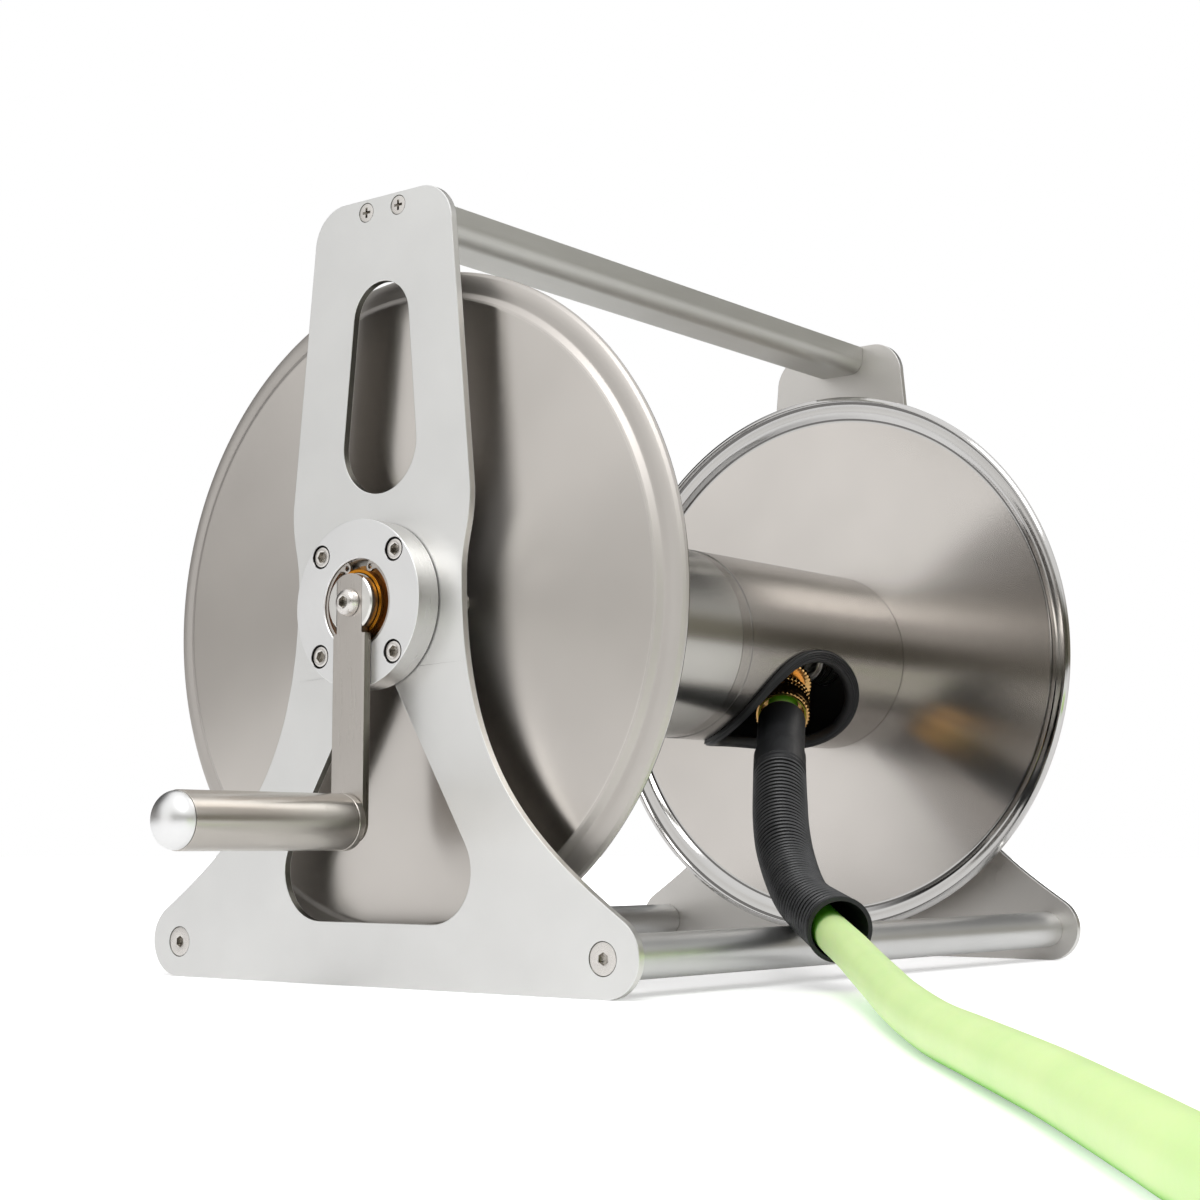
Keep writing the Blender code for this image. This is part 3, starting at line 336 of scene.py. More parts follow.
def turned_metal(name, colour, roughness, depth=5e-6, anisotropic=0.0, around=1.5, out=1800.0):
    """Rings round the local Z axis, as a lathe or a brushing wheel leaves them."""
    look, where = start_look(name, colour, roughness, 1.0)
    rings = grain(polar(where, around, out), 1.0, 3.0, 0.65)
    tint(grain(where, 14.0, 2.0), colour, 0.95, 1.03)
    spread = min(0.05, roughness * 0.3, depth * 10000)
    vary(rings, roughness - spread, roughness + spread)
    bump(rings, depth, 0.4)
    if anisotropic:
        turn = node("Tangent", direction_type="RADIAL", axis="Z")[0]
        feed({"Anisotropic": anisotropic, "Anisotropic Rotation": 0.25, "Tangent": turn})
    return look


def dull(name, colour, roughness, shine=0.42):
    """Rubber and other dull surfaces, with some dust."""
    look, where = start_look(name, colour, roughness, 0.0)
    dust = grain(where, 60.0, 4.0, 0.6)
    tint(dust, colour, 1.0, 1.5, 0.004)
    vary(dust, roughness - 0.08, roughness + 0.08)
    bump(grain(where, 2600.0, 2.0, 0.6), 2e-5, 0.4)
    feed({"Specular IOR Level": shine})
    return look


def hose_plastic(name, colour, painted_shade_green):
    """Soft plastic, painted a deeper green where little light comes in: painted shade."""
    look, where = start_look(name, colour, 0.42, 0.0)
    plain = tint(grain(where, 26.0, 3.0), colour, 0.95, 1.04)
    light = node("AmbientOcclusion", {"Distance": 0.03})["AO"]
    share = node("MapRange", {0: light, 1: 0.06, 2: 0.36})[0]
    mixed = node("Mix", {0: share, 6: (*painted_shade_green, 1), 7: plain}, data_type="RGBA")[2]
    fine = grain(where, 700.0, 2.0, 0.5)
    vary(fine, 0.38, 0.48)
    bump(fine, 2e-5, 0.3)
    feed({"Base Color": mixed, "Subsurface Weight": 0.25,
          "Subsurface Radius": (0.6, 1.0, 0.25), "Subsurface Scale": 0.004})
    return look


# Colour, roughness and the grain's scales
SATIN = {
    "plate": ((0.86, 0.86, 0.85), 0.42, (900, 900, 90)),
    # Darker copies of the plate for the inner faces, which face the drum: painted shade, deep on
    # the crank side and mid grey on the inlet side
    "plate_near": ((0.27, 0.26, 0.245), 0.36, (900, 900, 90)),
    "plate_far": ((0.68, 0.66, 0.635), 0.4, (900, 900, 90)),
    "plate_edge": ((0.78, 0.77, 0.74), 0.35, (400, 400, 1200)),
    # Near black for the walls of the slot, the window and the screw sinks: painted shade in the
    # holes
    "plate_cut": ((0.13, 0.13, 0.115), 0.35, (400, 400, 1200)),
    "handle": ((0.6, 0.595, 0.565), 0.48, (30, 1400, 1400)),
    "brushed": ((0.6, 0.565, 0.53), 0.3, (1500, 1500, 40)),
    # A dark copy of the brushed steel for the crank arm's side faces: painted shade
    "arm_edge": ((0.25, 0.235, 0.2), 0.3, (1500, 1500, 40)),
}
# Colour, roughness, depth of the rings, anisotropy, and scales round and across the rings
TURNED = {
    "housing": ((0.9, 0.9, 0.9), 0.45),
    "housing_side": ((0.62, 0.61, 0.59), 0.3),
    "flange": ((0.68, 0.645, 0.61), 0.28, 5e-7, 0.9, 0.5, 2600),
    "flange_rim": ((0.58, 0.55, 0.52), 0.5, 2e-7),
    "flange_in": ((0.69, 0.655, 0.625), 0.21, 1e-7, 0.9, 0.5, 2600),
    "rim": ((0.62, 0.61, 0.6), 0.1, 1e-6),
    # Near black, painted in the flange rim's inner corners, round the housing's foot at the plate
    # and on the counterbore walls: painted shade
    "groove": ((0.17, 0.165, 0.16), 0.16, 1e-6),
    "core": ((0.42, 0.395, 0.365), 0.25, 8e-7, 0.4),
    "core_bright": ((0.53, 0.515, 0.48), 0.24, 8e-7, 0.3),
    "seam": ((0.2, 0.19, 0.175), 0.25),
    "grip": ((0.55, 0.52, 0.48), 0.26, 1.5e-6, 0.3),
    "rod": ((0.72, 0.72, 0.71), 0.4, 3e-6),
    "polished": ((0.76, 0.75, 0.74), 0.12, 2e-6),
    "mirror": ((0.9, 0.9, 0.9), 0.34, 5e-7),
    "steel_screw": ((0.76, 0.73, 0.7), 0.28, 3e-6),
    # A darker steel painted inside the screws' sockets: painted shade
    "socket": ((0.42, 0.395, 0.36), 0.2, 3e-6),
    # A dark steel painted on the bush's face deep in the housing, the crank shaft's sides and the
    # flange screws: painted shade
    "snap": ((0.34, 0.33, 0.31), 0.3, 3e-6),
    "shaft": ((0.87, 0.86, 0.83), 0.3, 3e-6),
    "bronze": ((0.7, 0.27, 0.02), 0.25),
    # A dark copy of the bronze for the bush's collar and nose wall: painted shade
    "lip": ((0.38, 0.19, 0.06), 0.4),
    "brass": ((0.83, 0.5, 0.19), 0.2),
    "stainless": ((0.36, 0.35, 0.32), 0.3),
}
# Colour, roughness and shine
DULL = {
    # Near black for the drum's hollow, its core's inner wall and its end plates: painted shade
    "inside": ((0.01, 0.01, 0.01), 0.6),
    # A dull tan for the housings' steel bore walls: a painted reflection of the bronze bush
    "bore": ((0.42, 0.36, 0.28), 0.5),
    "rubber": ((0.0075, 0.008, 0.009), 0.5),
    "edging": ((0.0045, 0.0048, 0.0055), 0.45, 0.34),
    # Lighter, shinier rubber on the sleeve's rib crests is a painted highlight; black, rougher
    # rubber in the rib feet is painted shade
    "rib_top": ((0.032, 0.033, 0.035), 0.36, 0.55),
    "rib_foot": ((0.002, 0.002, 0.002), 0.7, 0.12),
    "nylon": ((0.03, 0.03, 0.032), 0.42),
}
# The hose's second colour is the deeper green of its painted shade
LOOKS = {"hose": hose_plastic("hose", (0.74, 1, 0.43), (0.16, 0.72, 0.01))}
for make, table in ((satin_metal, SATIN), (turned_metal, TURNED), (dull, DULL)):
    LOOKS.update({name: make(name, *values) for name, values in table.items()})


# Making pieces

def show(name, mesh, look, body, stands_for, location=(0, 0, 0), rotation=(0, 0, 0),
         weighted=True):
    made = placed(name, mesh, (Vector(location) + MIDDLE) * MM, rotation)
    mesh.materials.clear()
    mesh.materials.append(LOOKS[look])
    if weighted:
        made.modifiers.new("even_normals", "WEIGHTED_NORMAL").keep_sharp = True
    bpy.context.view_layer.update()
    if body:
        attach(made, body)
    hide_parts(*stands_for.split())
    return made


def paint(made, look, chosen):
    """Give the faces that chosen(centre, normal, distance from the axis) picks a new look."""
    data = made.data
    data.materials.append(LOOKS[look])
    at = len(data.materials) - 1
    for face in data.polygons:
        centre = face.center / MM
        if chosen(centre, face.normal, hypot(centre.x, centre.y)):
            face.material_index = at


def finish_mesh(work, mesh, sharp=40):
    work.to_mesh(mesh)
    work.free()
    mesh.shade_smooth()
    mesh.set_sharp_from_angle(angle=radians(sharp))
    return mesh


def new_mesh(work, name, sharp=40):
    bmesh.ops.recalc_face_normals(work, faces=work.faces[:])
    return finish_mesh(work, bpy.data.meshes.new(name), sharp)


def result_of(thing):
    """The mesh that a curve, or a mesh with its modifiers, comes out as."""
    bpy.context.view_layer.update()
    ready = thing.evaluated_get(bpy.context.evaluated_depsgraph_get())
    return bpy.data.meshes.new_from_object(ready)


def opened(mesh):
    work = bmesh.new()
    work.from_mesh(mesh)
    return work


def skin(name, rings, closed=False, sharp=40):
    """A mesh over rings of equal counts or single points, capped at its ends or closed."""
    work = bmesh.new()
    loops = [[work.verts.new([c * MM for c in point]) for point in points] for points in rings]
    pairs = list(zip(loops, loops[1:])) + ([(loops[-1], loops[0])] if closed else [])
    for low, high in pairs:
        count = max(len(low), len(high))
        for i in range(count):
            j = (i + 1) % count
            corners = [low[0]] if len(low) == 1 else [low[i], low[j]]
            corners += [high[0]] if len(high) == 1 else [high[j], high[i]]
            work.faces.new(corners)
    for cap in (loops[0][::-1], loops[-1]):
        if not closed and len(cap) > 1:
            work.faces.new(cap)
    return new_mesh(work, name, sharp)


def soften(points, size, closed):
    """Round each corner of a profile a little, so that its edges catch the light."""
    if not size:
        return points
    found = []
    for i, point in enumerate(points):
        here = Vector(point)
        back = Vector(points[i - 1]) - here
        ahead = Vector(points[(i + 1) % len(points)]) - here
        at_end = not closed and i in (0, len(points) - 1)
        if at_end or pi - back.angle(ahead, 0) < radians(14):
            found.append(point)
            continue
        first = here + back.normalized() * min(size, back.length * 0.42)
        final = here + ahead.normalized() * min(size, ahead.length * 0.42)
        for t in (0, 0.33, 0.67, 1):
            found.append(tuple(first * (1 - t) ** 2 + here * 2 * t * (1 - t) + final * t * t))
    return found


def turns(count, start=0.0):
    return [start + 2 * pi * i / count for i in range(count)]


def ring(radius, z, count=36, start=0.0):
    return [(radius * cos(turn), radius * sin(turn), z) for turn in turns(count, start)]


def rings_of(profile, *how):
    return [ring(radius, along, *how) for along, radius in profile]


def lathe(name, profile, closed=False, segments=128, edge=0.3, sharp=40):
    """Turn (along, radius) points about Z.  A radius of zero makes one point on the axis."""
    rings = [ring(radius, along, segments if radius > 1e-4 else 1)
             for along, radius in soften(profile, edge, closed)]
    return skin(name, rings, closed, sharp)


def arc(centre, radius, start, end, count):
    steps = [radians(start + (end - start) * i / count) for i in range(count + 1)]
    return [(centre[0] + radius * cos(a), centre[1] + radius * sin(a)) for a in steps]


def circle(centre, radius, count=48):
    return arc(centre, radius, 0, 360 * (count - 1) / count, count - 1)


def bezier(knots, count):
    return [tuple(point) for point in interpolate_bezier(*map(Vector, knots), count + 1)[1:]]


def rounded_polygon(corners, radii, count=14):
    found = []
    for i, (corner, radius) in enumerate(zip(corners, radii)):
        here = Vector(corner)
        back = (Vector(corners[i - 1]) - here).normalized()
        ahead = (Vector(corners[(i + 1) % len(corners)]) - here).normalized()
        half = back.angle(ahead) / 2
        centre = here + (back + ahead).normalized() * (radius / sin(half))
        first = here + back * (radius / tan(half)) - centre
        last = here + ahead * (radius / tan(half)) - centre
        for step in range(count + 1):
            turn = first.angle_signed(last) * step / count
            found.append(tuple(centre + Matrix.Rotation(-turn, 2) @ first))
    return found


def mirrored(half):
    """The outline whose right half is given from bottom to top."""
    return half + [(-x, y) for x, y in reversed(half)]


def sheet_mesh(name, outlines, thickness, edge=0.35):
    """A plate from closed outlines, first its edge and then its holes, with eased edges."""
    curve = bpy.data.curves.new(name, "CURVE")
    curve.dimensions = "2D"
    curve.fill_mode = "BOTH"
    face_z = thickness / 2 * MM
    curve.extrude = face_z
    for outline in outlines:
        spline = curve.splines.new("POLY")
        spline.points.add(len(outline) - 1)
        for point, (x, y) in zip(spline.points, outline):
            point.co = (x * MM, y * MM, 0, 1)
        spline.use_cyclic_u = True
    holder = placed(name, curve)
    mesh = result_of(holder)
    bpy.data.objects.remove(holder, do_unlink=True)
    bpy.data.curves.remove(curve)
    work = opened(mesh)
    bpy.data.meshes.remove(mesh)
    bmesh.ops.remove_doubles(work, verts=work.verts[:], dist=1e-5)
    bmesh.ops.recalc_face_normals(work, faces=work.faces[:])
    rims = [e for e in work.edges if len(e.link_faces) == 2 and e.calc_face_angle() > radians(60)
            and abs(abs(e.verts[0].co.z) - face_z) < 1e-6
            and abs(e.verts[0].co.z - e.verts[1].co.z) < 1e-7]
    bmesh.ops.bevel(work, geom=rims, offset=edge * MM, segments=2, profile=0.5, affect="EDGES",
                    clamp_overlap=False)
    return new_mesh(work, name)


def carve(mesh, cutters, sharp=40):
    """Cut the cutter meshes out of a mesh and hand back the result."""
    name = mesh.name
    base = placed(name, mesh)
    helpers = []
    for i, cutter in enumerate(cutters):
        helpers.append(placed(f"{name}_cut_{i}", cutter))
        step = base.modifiers.new(f"cut_{i}", "BOOLEAN")
        step.operation = "DIFFERENCE"
        step.solver = "EXACT"
        step.object = helpers[-1]
    made = result_of(base)
    for thing in helpers + [base]:
        data = thing.data
        bpy.data.objects.remove(thing, do_unlink=True)
        bpy.data.meshes.remove(data)
    made.name = name
    work = opened(made)
    bmesh.ops.dissolve_degenerate(work, dist=5e-6, edges=work.edges[:])
    return finish_mesh(work, made, sharp)


def moved(mesh, matrix):
    matrix.translation = matrix.translation * MM
    mesh.transform(matrix)
    return mesh


def rotation(turn, axis):
    return Matrix.Rotation(radians(turn), 4, axis)


def facing(side):
    return (0, side * radians(90), 0)


def at_hub(side):
    """Place and turn of a piece on the drum's axis whose Z points out at this side."""
    return (0, 0, HUB_Z), facing(side)


STANDING = (radians(90), 0, radians(90))


def turned(name, profile, look, body, stands_for, place, closed=False, segments=128, edge=0.3,
           sharp=40):
    mesh = lathe(name, profile, closed, segments, edge, sharp)
    return show(name, mesh, look, body, stands_for, *place)


# Plates, rods and handle

HANDLE_SCREWS = [(10.6, 371.5), (-10.6, 371.5)]
FOOT_SCREWS = [(ROD_Y, ROD_Z), (-ROD_Y, ROD_Z)]
HOUSING_SCREWS = [(a * SCREW_AT, b * SCREW_AT) for a in (1, -1) for b in (1, -1)]
SINKS = [(FOOT_SCREWS, 4.5, 7.6, 3), (HANDLE_SCREWS, 2.8, 4.9, 2.2)]  # radii and depth
SEAT = 0.1  # gap between pieces that touch


def plate_edge():
    toe = arc((FOOT_Y, FOOT_R), FOOT_R, -90, 57, 22)
    slope, toe_pull, waist_pull = radians(147), 70, 86
    waist = (53.5, 190)
    toe_end = toe[-1]
    pulled = (toe_end[0] + toe_pull * cos(slope), toe_end[1] + toe_pull * sin(slope))
    flare = bezier((toe_end, pulled, (waist[0], waist[1] - waist_pull), waist), 40)
    swell = bezier((waist, (waist[0], waist[1] + 16), (58.9, 213), (58.2, 230)), 16)
    top = arc((25.5, PLATE_HEIGHT - PLATE_TOP_R), PLATE_TOP_R, 0, 90, 18)
    return mirrored(toe + flare + swell + top)


def neck_slot():
    low, low_r, high, high_r = 256, 24, 317.5, 18.2
    lean = degrees(asin((low_r - high_r) / (high - low)))
    upper = arc((0, high), high_r, lean, 180 - lean, 30)
    return upper + arc((0, low), low_r, 180 - lean, 360 + lean, 34)


def foot_window():
    return rounded_polygon([(0, 159.9), (-78.8, 29.5), (78.8, 29.5)], [14, 24, 24])


def in_hole(at):
    """Whether a point of a plate is on the wall of its slot, its window or a foot screw's sink."""
    slot = abs(at.x) < 26 and 230 < at.y < 338
    window = 27 < at.y < 158 and abs(at.x) < min(80, (165 - at.y) * 0.62 + 4)
    return slot or window or any(hypot(at.x - y, at.y - z) < 7.8 for y, z in FOOT_SCREWS)


def side_plate(side, word):
    """The holes are sunk from the outer face, +Z, and the crank side's plate is turned over."""
    hub_hole = circle((0, HUB_Z), SPIGOT_R + 0.2, 96)
    outlines = [plate_edge(), neck_slot(), foot_window(), hub_hole]
    mesh = sheet_mesh("plate_" + word, outlines, PLATE_THICK)
    cutters = []
    for places, small, large, depth in SINKS:
        for y, z in places:
            out = [(-2 * PLATE_THICK, 0), (-2 * PLATE_THICK, small), (-depth, small),
                   (0, large), (1, large + 0.2), (1, 0)]
            plug = lathe("sink", out, segments=40, edge=0)
            cutters.append(moved(plug, Matrix.Translation((y, z, PLATE_THICK / 2))))
    mesh = carve(mesh, cutters, 18)
    for face in mesh.polygons:
        face.use_smooth = abs(face.normal.z) < 0.999
    if side < 0:
        moved(mesh, rotation(180, "Y"))
    middle = (side * (PLATE_OUTER - PLATE_THICK / 2), 0, 0)
    made = show("plate_" + word, mesh, "plate", "frame", "side_plate_" + word, middle,
                STANDING, weighted=False)
    # The inner faces get a darker copy of the plate: painted shade between the plates, deepest on
    # the crank side where the flange mirrors it
    paint(made, "plate_near" if side < 0 else "plate_far", lambda at, way, out: way.z * side < -0.9)
    paint(made, "plate_edge", lambda at, way, out: abs(way.z) < 0.3 and not in_hole(at))
    # Walls inside the slot, the window, the foot screws' sinks and the handle screws' sinks are
    # painted near black: painted shade
    paint(made, "plate_cut", lambda at, way, out: abs(way.z) < 0.9 and in_hole(at)
          and (abs(at.z) < PLATE_THICK / 2 - 0.36 or at.y < 27))
    paint(made, "plate_cut", lambda at, way, out: abs(way.z) < 0.9 and any(
        hypot(abs(at.x) - abs(y), at.y - z) < 5.1 for y, z in HANDLE_SCREWS))


def base_rod(word, y):
    end = PLATE_INNER - SEAT
    floor_x = end - 20
    half = [(floor_x, 0), (floor_x, ROD_BORE_R), (end, ROD_BORE_R), (end, ROD_R)]
    profile = half + [(-along, radius) for along, radius in reversed(half)]
    turned("rod_" + word, profile, "rod", "frame", "base_rod_" + word,
           ((0, y, ROD_Z), facing(1)), segments=72, edge=0.5)


def carry_handle():
    bottom, corner = HANDLE_TOP - HANDLE_DEPTH, 0.6
    right = arc((HANDLE_HALF - HANDLE_ROUND, bottom + HANDLE_ROUND), HANDLE_ROUND, -90, 0, 16)
    right += arc((HANDLE_HALF - corner, HANDLE_TOP - corner), corner, 0, 90, 4)
    holes = [circle(at, 2.7, 24) for at in HANDLE_SCREWS]
    mesh = sheet_mesh("handle", [mirrored(right)] + holes, 2 * (PLATE_INNER - SEAT), 0.2)
    moved(mesh, rotation(90, "Z") @ rotation(90, "X"))
    show("handle", mesh, "handle", "frame", "carry_handle")


# Screws: (along, radius) rings of head and shank

FOOT_HEAD = [(0, 6.9), (-0.12, 7.15), (-0.4, 7.2), (-3, 4), (-22, 4)]
HANDLE_HEAD = [(0, 4.3), (-0.1, 4.5), (-0.3, 4.5), (-2.2, 2.5), (-20, 2.5)]
HOUSING_HEAD = [(0, 4.2), (-0.2, 4.7), (-0.7, 4.9), (-6, 4.9), (-6, 3), (-16.5, 3)]
FLANGE_HEAD = [(0, 3.2), (-0.5, 4.2), (-1.3, 4.9), (-2.4, 5.2), (-3.3, 5.25), (-3.3, 3),
               (-10.5, 3)]
ARM_HEAD = [(0, 3.6), (-0.35, 4.6), (-1.1, 5.6), (-2.3, 6.3), (-4.2, 6.5), (-4.2, 4), (-22, 4)]


def around(corners, z, per_side):
    found = []
    for i, here in enumerate(corners):
        ahead = corners[(i + 1) % len(corners)]
        found += [(*here.lerp(ahead, k / per_side), z) for k in range(per_side)]
    return found


def hexagon(across, z, per_side=6):
    reach = across / sqrt(3)
    corners = [Vector((reach * cos(turn), reach * sin(turn))) for turn in turns(6)]
    return around(corners, z, per_side)


def cross(reach, width, z, per_side=3):
    corners = []
    for quarter in range(4):
        turn = Matrix.Rotation(radians(90 * quarter), 2)
        tip = ((reach, -width), (reach, width), (width, width))
        corners += [turn @ Vector(point) for point in tip]
    return around(corners, z, per_side)


def socket_screw(name, across, depth, head):
    """A hexagon socket with a bright chamfer, then the head's (along, radius) rings and shank."""
    top = head[0][0]
    rings = [hexagon(0.3 * across, -depth - 0.4), hexagon(across, -depth),
             hexagon(across, top - 0.25), ring(across * 0.64, top)]
    return skin(name, rings + rings_of(head), sharp=32)


def cross_screw(name, head):
    start = atan2(-0.6, 2.5)
    rings = [cross(0.9, 0.35, -2), cross(2.5, 0.6, -0.15), cross(2.6, 0.68, 0)]
    return skin(name, rings + rings_of(head, 36, start), sharp=32)


SIDES = ((-1, "crank"), (1, "inlet"))


def screw(name, mesh, body, place, reach=3.2, top=-0.3, piece=None):
    """A steel screw whose socket, nearer the axis than reach and below top, is painted shade."""
    made = show(piece or name + "_look", mesh, "steel_screw", body, name, *place)
    paint(made, "socket", lambda at, way, out: out < reach and at.z < top)


def frame_screws():
    for side, word in SIDES:
        sunk = side * (PLATE_OUTER - SEAT)
        for at, end in zip(FOOT_SCREWS, ("rear", "front")):
            name = f"foot_screw_{word}_{end}"
            screw(name, socket_screw(name, 5, 2.2, FOOT_HEAD), "frame",
                  ((sunk, *at), facing(side)))
        for at, end in zip(HANDLE_SCREWS, ("rear", "front")):
            name = f"handle_screw_{word}_{end}"
            screw(name, cross_screw(name, HANDLE_HEAD), "frame",
                  ((sunk, *at), facing(side)), 2.8, -0.03)
        seated = side * (HOUSING_FACE - 0.3)
        for i, (y, z) in enumerate(HOUSING_SCREWS):
            name = f"housing_screw_{word}_{i + 1}"
            mesh = moved(socket_screw(name, 5, 2.6, HOUSING_HEAD),
                         Matrix.Rotation(0.5 + 1.3 * i, 4, "Z"))
            screw(name, mesh, "frame", ((seated, y, HUB_Z + z), facing(side)))


# Bearings

def bearing(side, word):
    name = "housing_" + word
    groove, groove_end, groove_r = HOUSING_FACE - 2.85, HOUSING_FACE - 0.75, BORE_R + 1.4
    foot = PLATE_OUTER + 0.15
    profile = [
        (HOUSING_FACE - 0.5, BORE_R), (HOUSING_FACE, BORE_R + 0.5),
        (HOUSING_FACE, HOUSING_R - 0.25), (HOUSING_FACE - 0.25, HOUSING_R),
        (PLATE_OUTER + 0.8, HOUSING_R), (foot, HOUSING_R - 0.15), (foot, SPIGOT_R),
        (PLATE_INNER, SPIGOT_R), (PLATE_INNER, BORE_R), (groove, BORE_R), (groove, groove_r),
        (groove_end, groove_r), (groove_end, BORE_R)]
    mesh = lathe(name, profile, True, 144, 0.12)
    seat, through, above = HOUSING_FACE - 7.1, PLATE_OUTER - 1, HOUSING_FACE + 0.3
    plug = [(through, 0), (through, 3.4), (seat, 3.4), (seat, 5.55), (HOUSING_FACE - 0.2, 5.55),
            (above, 6.05), (above, 0)]
    cutters = [moved(lathe("counterbore", plug, segments=48, edge=0),
                     Matrix.Translation((x, y, 0))) for x, y in HOUSING_SCREWS]
    made = show(name, carve(mesh, cutters), "housing", "frame",
                "bearing_housing_" + word, *at_hub(side))
    paint(made, "housing_side", lambda at, way, out: out > HOUSING_R - 0.1 and way.z < 0.3)
    # A thin ring where the housing sits on the plate is painted near black: painted shade
    paint(made, "groove", lambda at, way, out: out > HOUSING_R - 1 and at.z < PLATE_OUTER + 0.8)
    # The steel bore wall is painted a dull tan: a painted reflection of the bronze bush
    paint(made, "bore", lambda at, way, out: out < BORE_R + 1.6 and abs(way.z) < 0.6)
    # The counterbore walls round the housing screws are painted near black: painted shade
    paint(made, "groove", lambda at, way, out: abs(way.z) < 0.8 and any(
        hypot(at.x - x, at.y - y) < 6.2 for x, y in HOUSING_SCREWS))


def bush(side, word):
    """The bush, whose nose shows in the snap ring; its collar and nose wall have painted shade."""
    low, high, inner = PLATE_INNER, HOUSING_FACE - 5, SHAFT_R + 0.4
    nose, collar_r = HOUSING_FACE - 0.3, 18.2
    line, line_end = nose - 2.1, nose - 1.4
    rings = [(nose, inner), (nose, NOSE_R), (line_end, NOSE_R), (line, NOSE_R), (high, NOSE_R),
             (high, collar_r), (high, 18.8), (high, BUSH_R), (low, BUSH_R), (low, inner)]
    made = turned("bush_ring_" + word, rings, "bronze", "frame", "bush_" + word, at_hub(side),
                  True, 96, 0.1)
    # The nose's outer wall, but for the band from line to line_end, and the collar are painted
    # darker bronze: painted shade
    paint(made, "lip", lambda at, way, out: NOSE_R - 0.05 < out < collar_r
          and high - 0.1 < at.z < nose - 0.15 and not line < at.z < line_end)
    # The bush's face beyond the collar, deep in the housing, is painted dark steel: painted shade
    paint(made, "snap", lambda at, way, out: out > collar_r and at.z > high - 0.2)


def snap_ring(side, word):
    outer, inner = BORE_R + 1, BORE_R - 1.5
    lug_turn, lug_r, lug_at = 23.6, 2.35, BORE_R - 2.55
    lug = (lug_at * sin(radians(lug_turn)), lug_at * cos(radians(lug_turn)))
    right = arc((0, 0), outer, -90, 90 - lug_turn + 6, 40) + arc(lug, lug_r, 115, 325, 18)
    right += arc((0, 0), inner, 90 - lug_turn - 13, -90, 36)
    outline = right[1:-1] + [(-x, y) for x, y in reversed(right)]
    eyes = [circle((sign * lug[0], lug[1]), 1.2, 20) for sign in (1, -1)]
    mesh = sheet_mesh("circlip_" + word, [outline] + eyes, 1.5, 0.15)
    show("snap_ring_" + word, mesh, "brushed", "frame", "circlip_" + word,
         (side * (HOUSING_FACE - 1.8), 0, HUB_Z), STANDING)


# Drum

FLANGE_WALL = 1.5
# (along from the face, radius): step, crown and rolled edge outside, then back along the inside
RIM_OUTSIDE = [
    (0, 149.8), (-0.15, 150.8), (-0.6, 151.8), (-2.1, 153.6), (-2.6, 154.4), (-2.75, 155.4),
    (-2.6, 157.5), (-2.75, 159.5), (-3.2, 161.5), (-4, 163.2), (-5.2, 164.5), (-6.7, FLANGE_R),
    (-8, 164.4), (-8.8, 163.2), (-9, 162.2)]
RIM_INSIDE = [
    (-8.4, 161.9), (-7.6, 162.7), (-6.8, 163.2), (-6, 163), (-5.2, 162), (-4.7, 160.5),
    (-4.4, 158.5), (-4.35, 157.3), (-4.32, 156.4), (-4.3, 156), (-4.1, 155), (-3.5, 153.9),
    (-2.1, 152.2), (-1.6, 151), (-1.5, 149.9)]
RIM_FROM = 150.3
# Rings on the rim's inner side that are painted near black, as painted shade in its corners
RIM_GROOVES = ((150.9, 152.1), (160.6, 162.2))


def flange(side, word):
    hole = SHAFT_R + 4.6
    profile = [(FLANGE_FACE, hole)]
    profile += [(FLANGE_FACE + along, radius) for along, radius in RIM_OUTSIDE + RIM_INSIDE]
    profile += [(FLANGE_FACE - FLANGE_WALL, hole)]
    disc = turned("disc_" + word, profile, "flange", "drum", "flange_" + word, at_hub(side),
                  True, 288, 0.2, 50)
    paint(disc, "flange_rim", lambda at, way, out: way.z > 0 and out > RIM_FROM)
    paint(disc, "flange_in", lambda at, way, out: way.z < -0.5 and out <= RIM_FROM)
    paint(disc, "rim", lambda at, way, out: out > RIM_FROM
          and (way.z < 0 or at.z < FLANGE_FACE - 6))
    # Two thin rings in the rim's inner corners are painted near black: painted shade
    paint(disc, "groove", lambda at, way, out: way.z < 0 and any(
        low < out < high for low, high in RIM_GROOVES))
    low, high = CORE_END - 6, CORE_END
    inner, outer = SHAFT_R + 0.4, CORE_R - CORE_WALL - 0.3
    # The end plates inside the core are near black: painted shade
    turned("end_plate_" + word, [(high, inner), (high, outer), (low, outer), (low, inner)],
           "inside", "drum", "hub_plate_" + word, at_hub(side), True, 96)
    for i in range(3):
        turn = radians(30 + 120 * i)
        at = Vector((FLANGE_SCREW_AT * cos(turn), FLANGE_SCREW_AT * sin(turn), FLANGE_FACE + 3.6))
        at = Matrix.Rotation(side * radians(90), 3, "Y") @ at + Vector((0, 0, HUB_Z))
        name = f"flange_screw_{word}_{i + 1}"
        # The flange screws are drawn all in the dark steel: painted shade
        show(name + "_look", socket_screw(name, 4, 1.8, FLANGE_HEAD), "snap", "drum", name, at,
             facing(side))


def opening_point(step, out, radius):
    """A point round the core's opening, out from its edge, at a radius from the drum's axis."""
    half_run = OPENING_HALF_TURN * CORE_R
    x, run = OPENING_HALF_X * cos(step), half_run * sin(step)
    normal = Vector((half_run * cos(step), OPENING_HALF_X * sin(step))).normalized()
    turn = OPENING_TURN + (run + out * normal.y) / CORE_R
    return (OPENING_X + x + out * normal.x, -radius * sin(turn), radius * cos(turn))


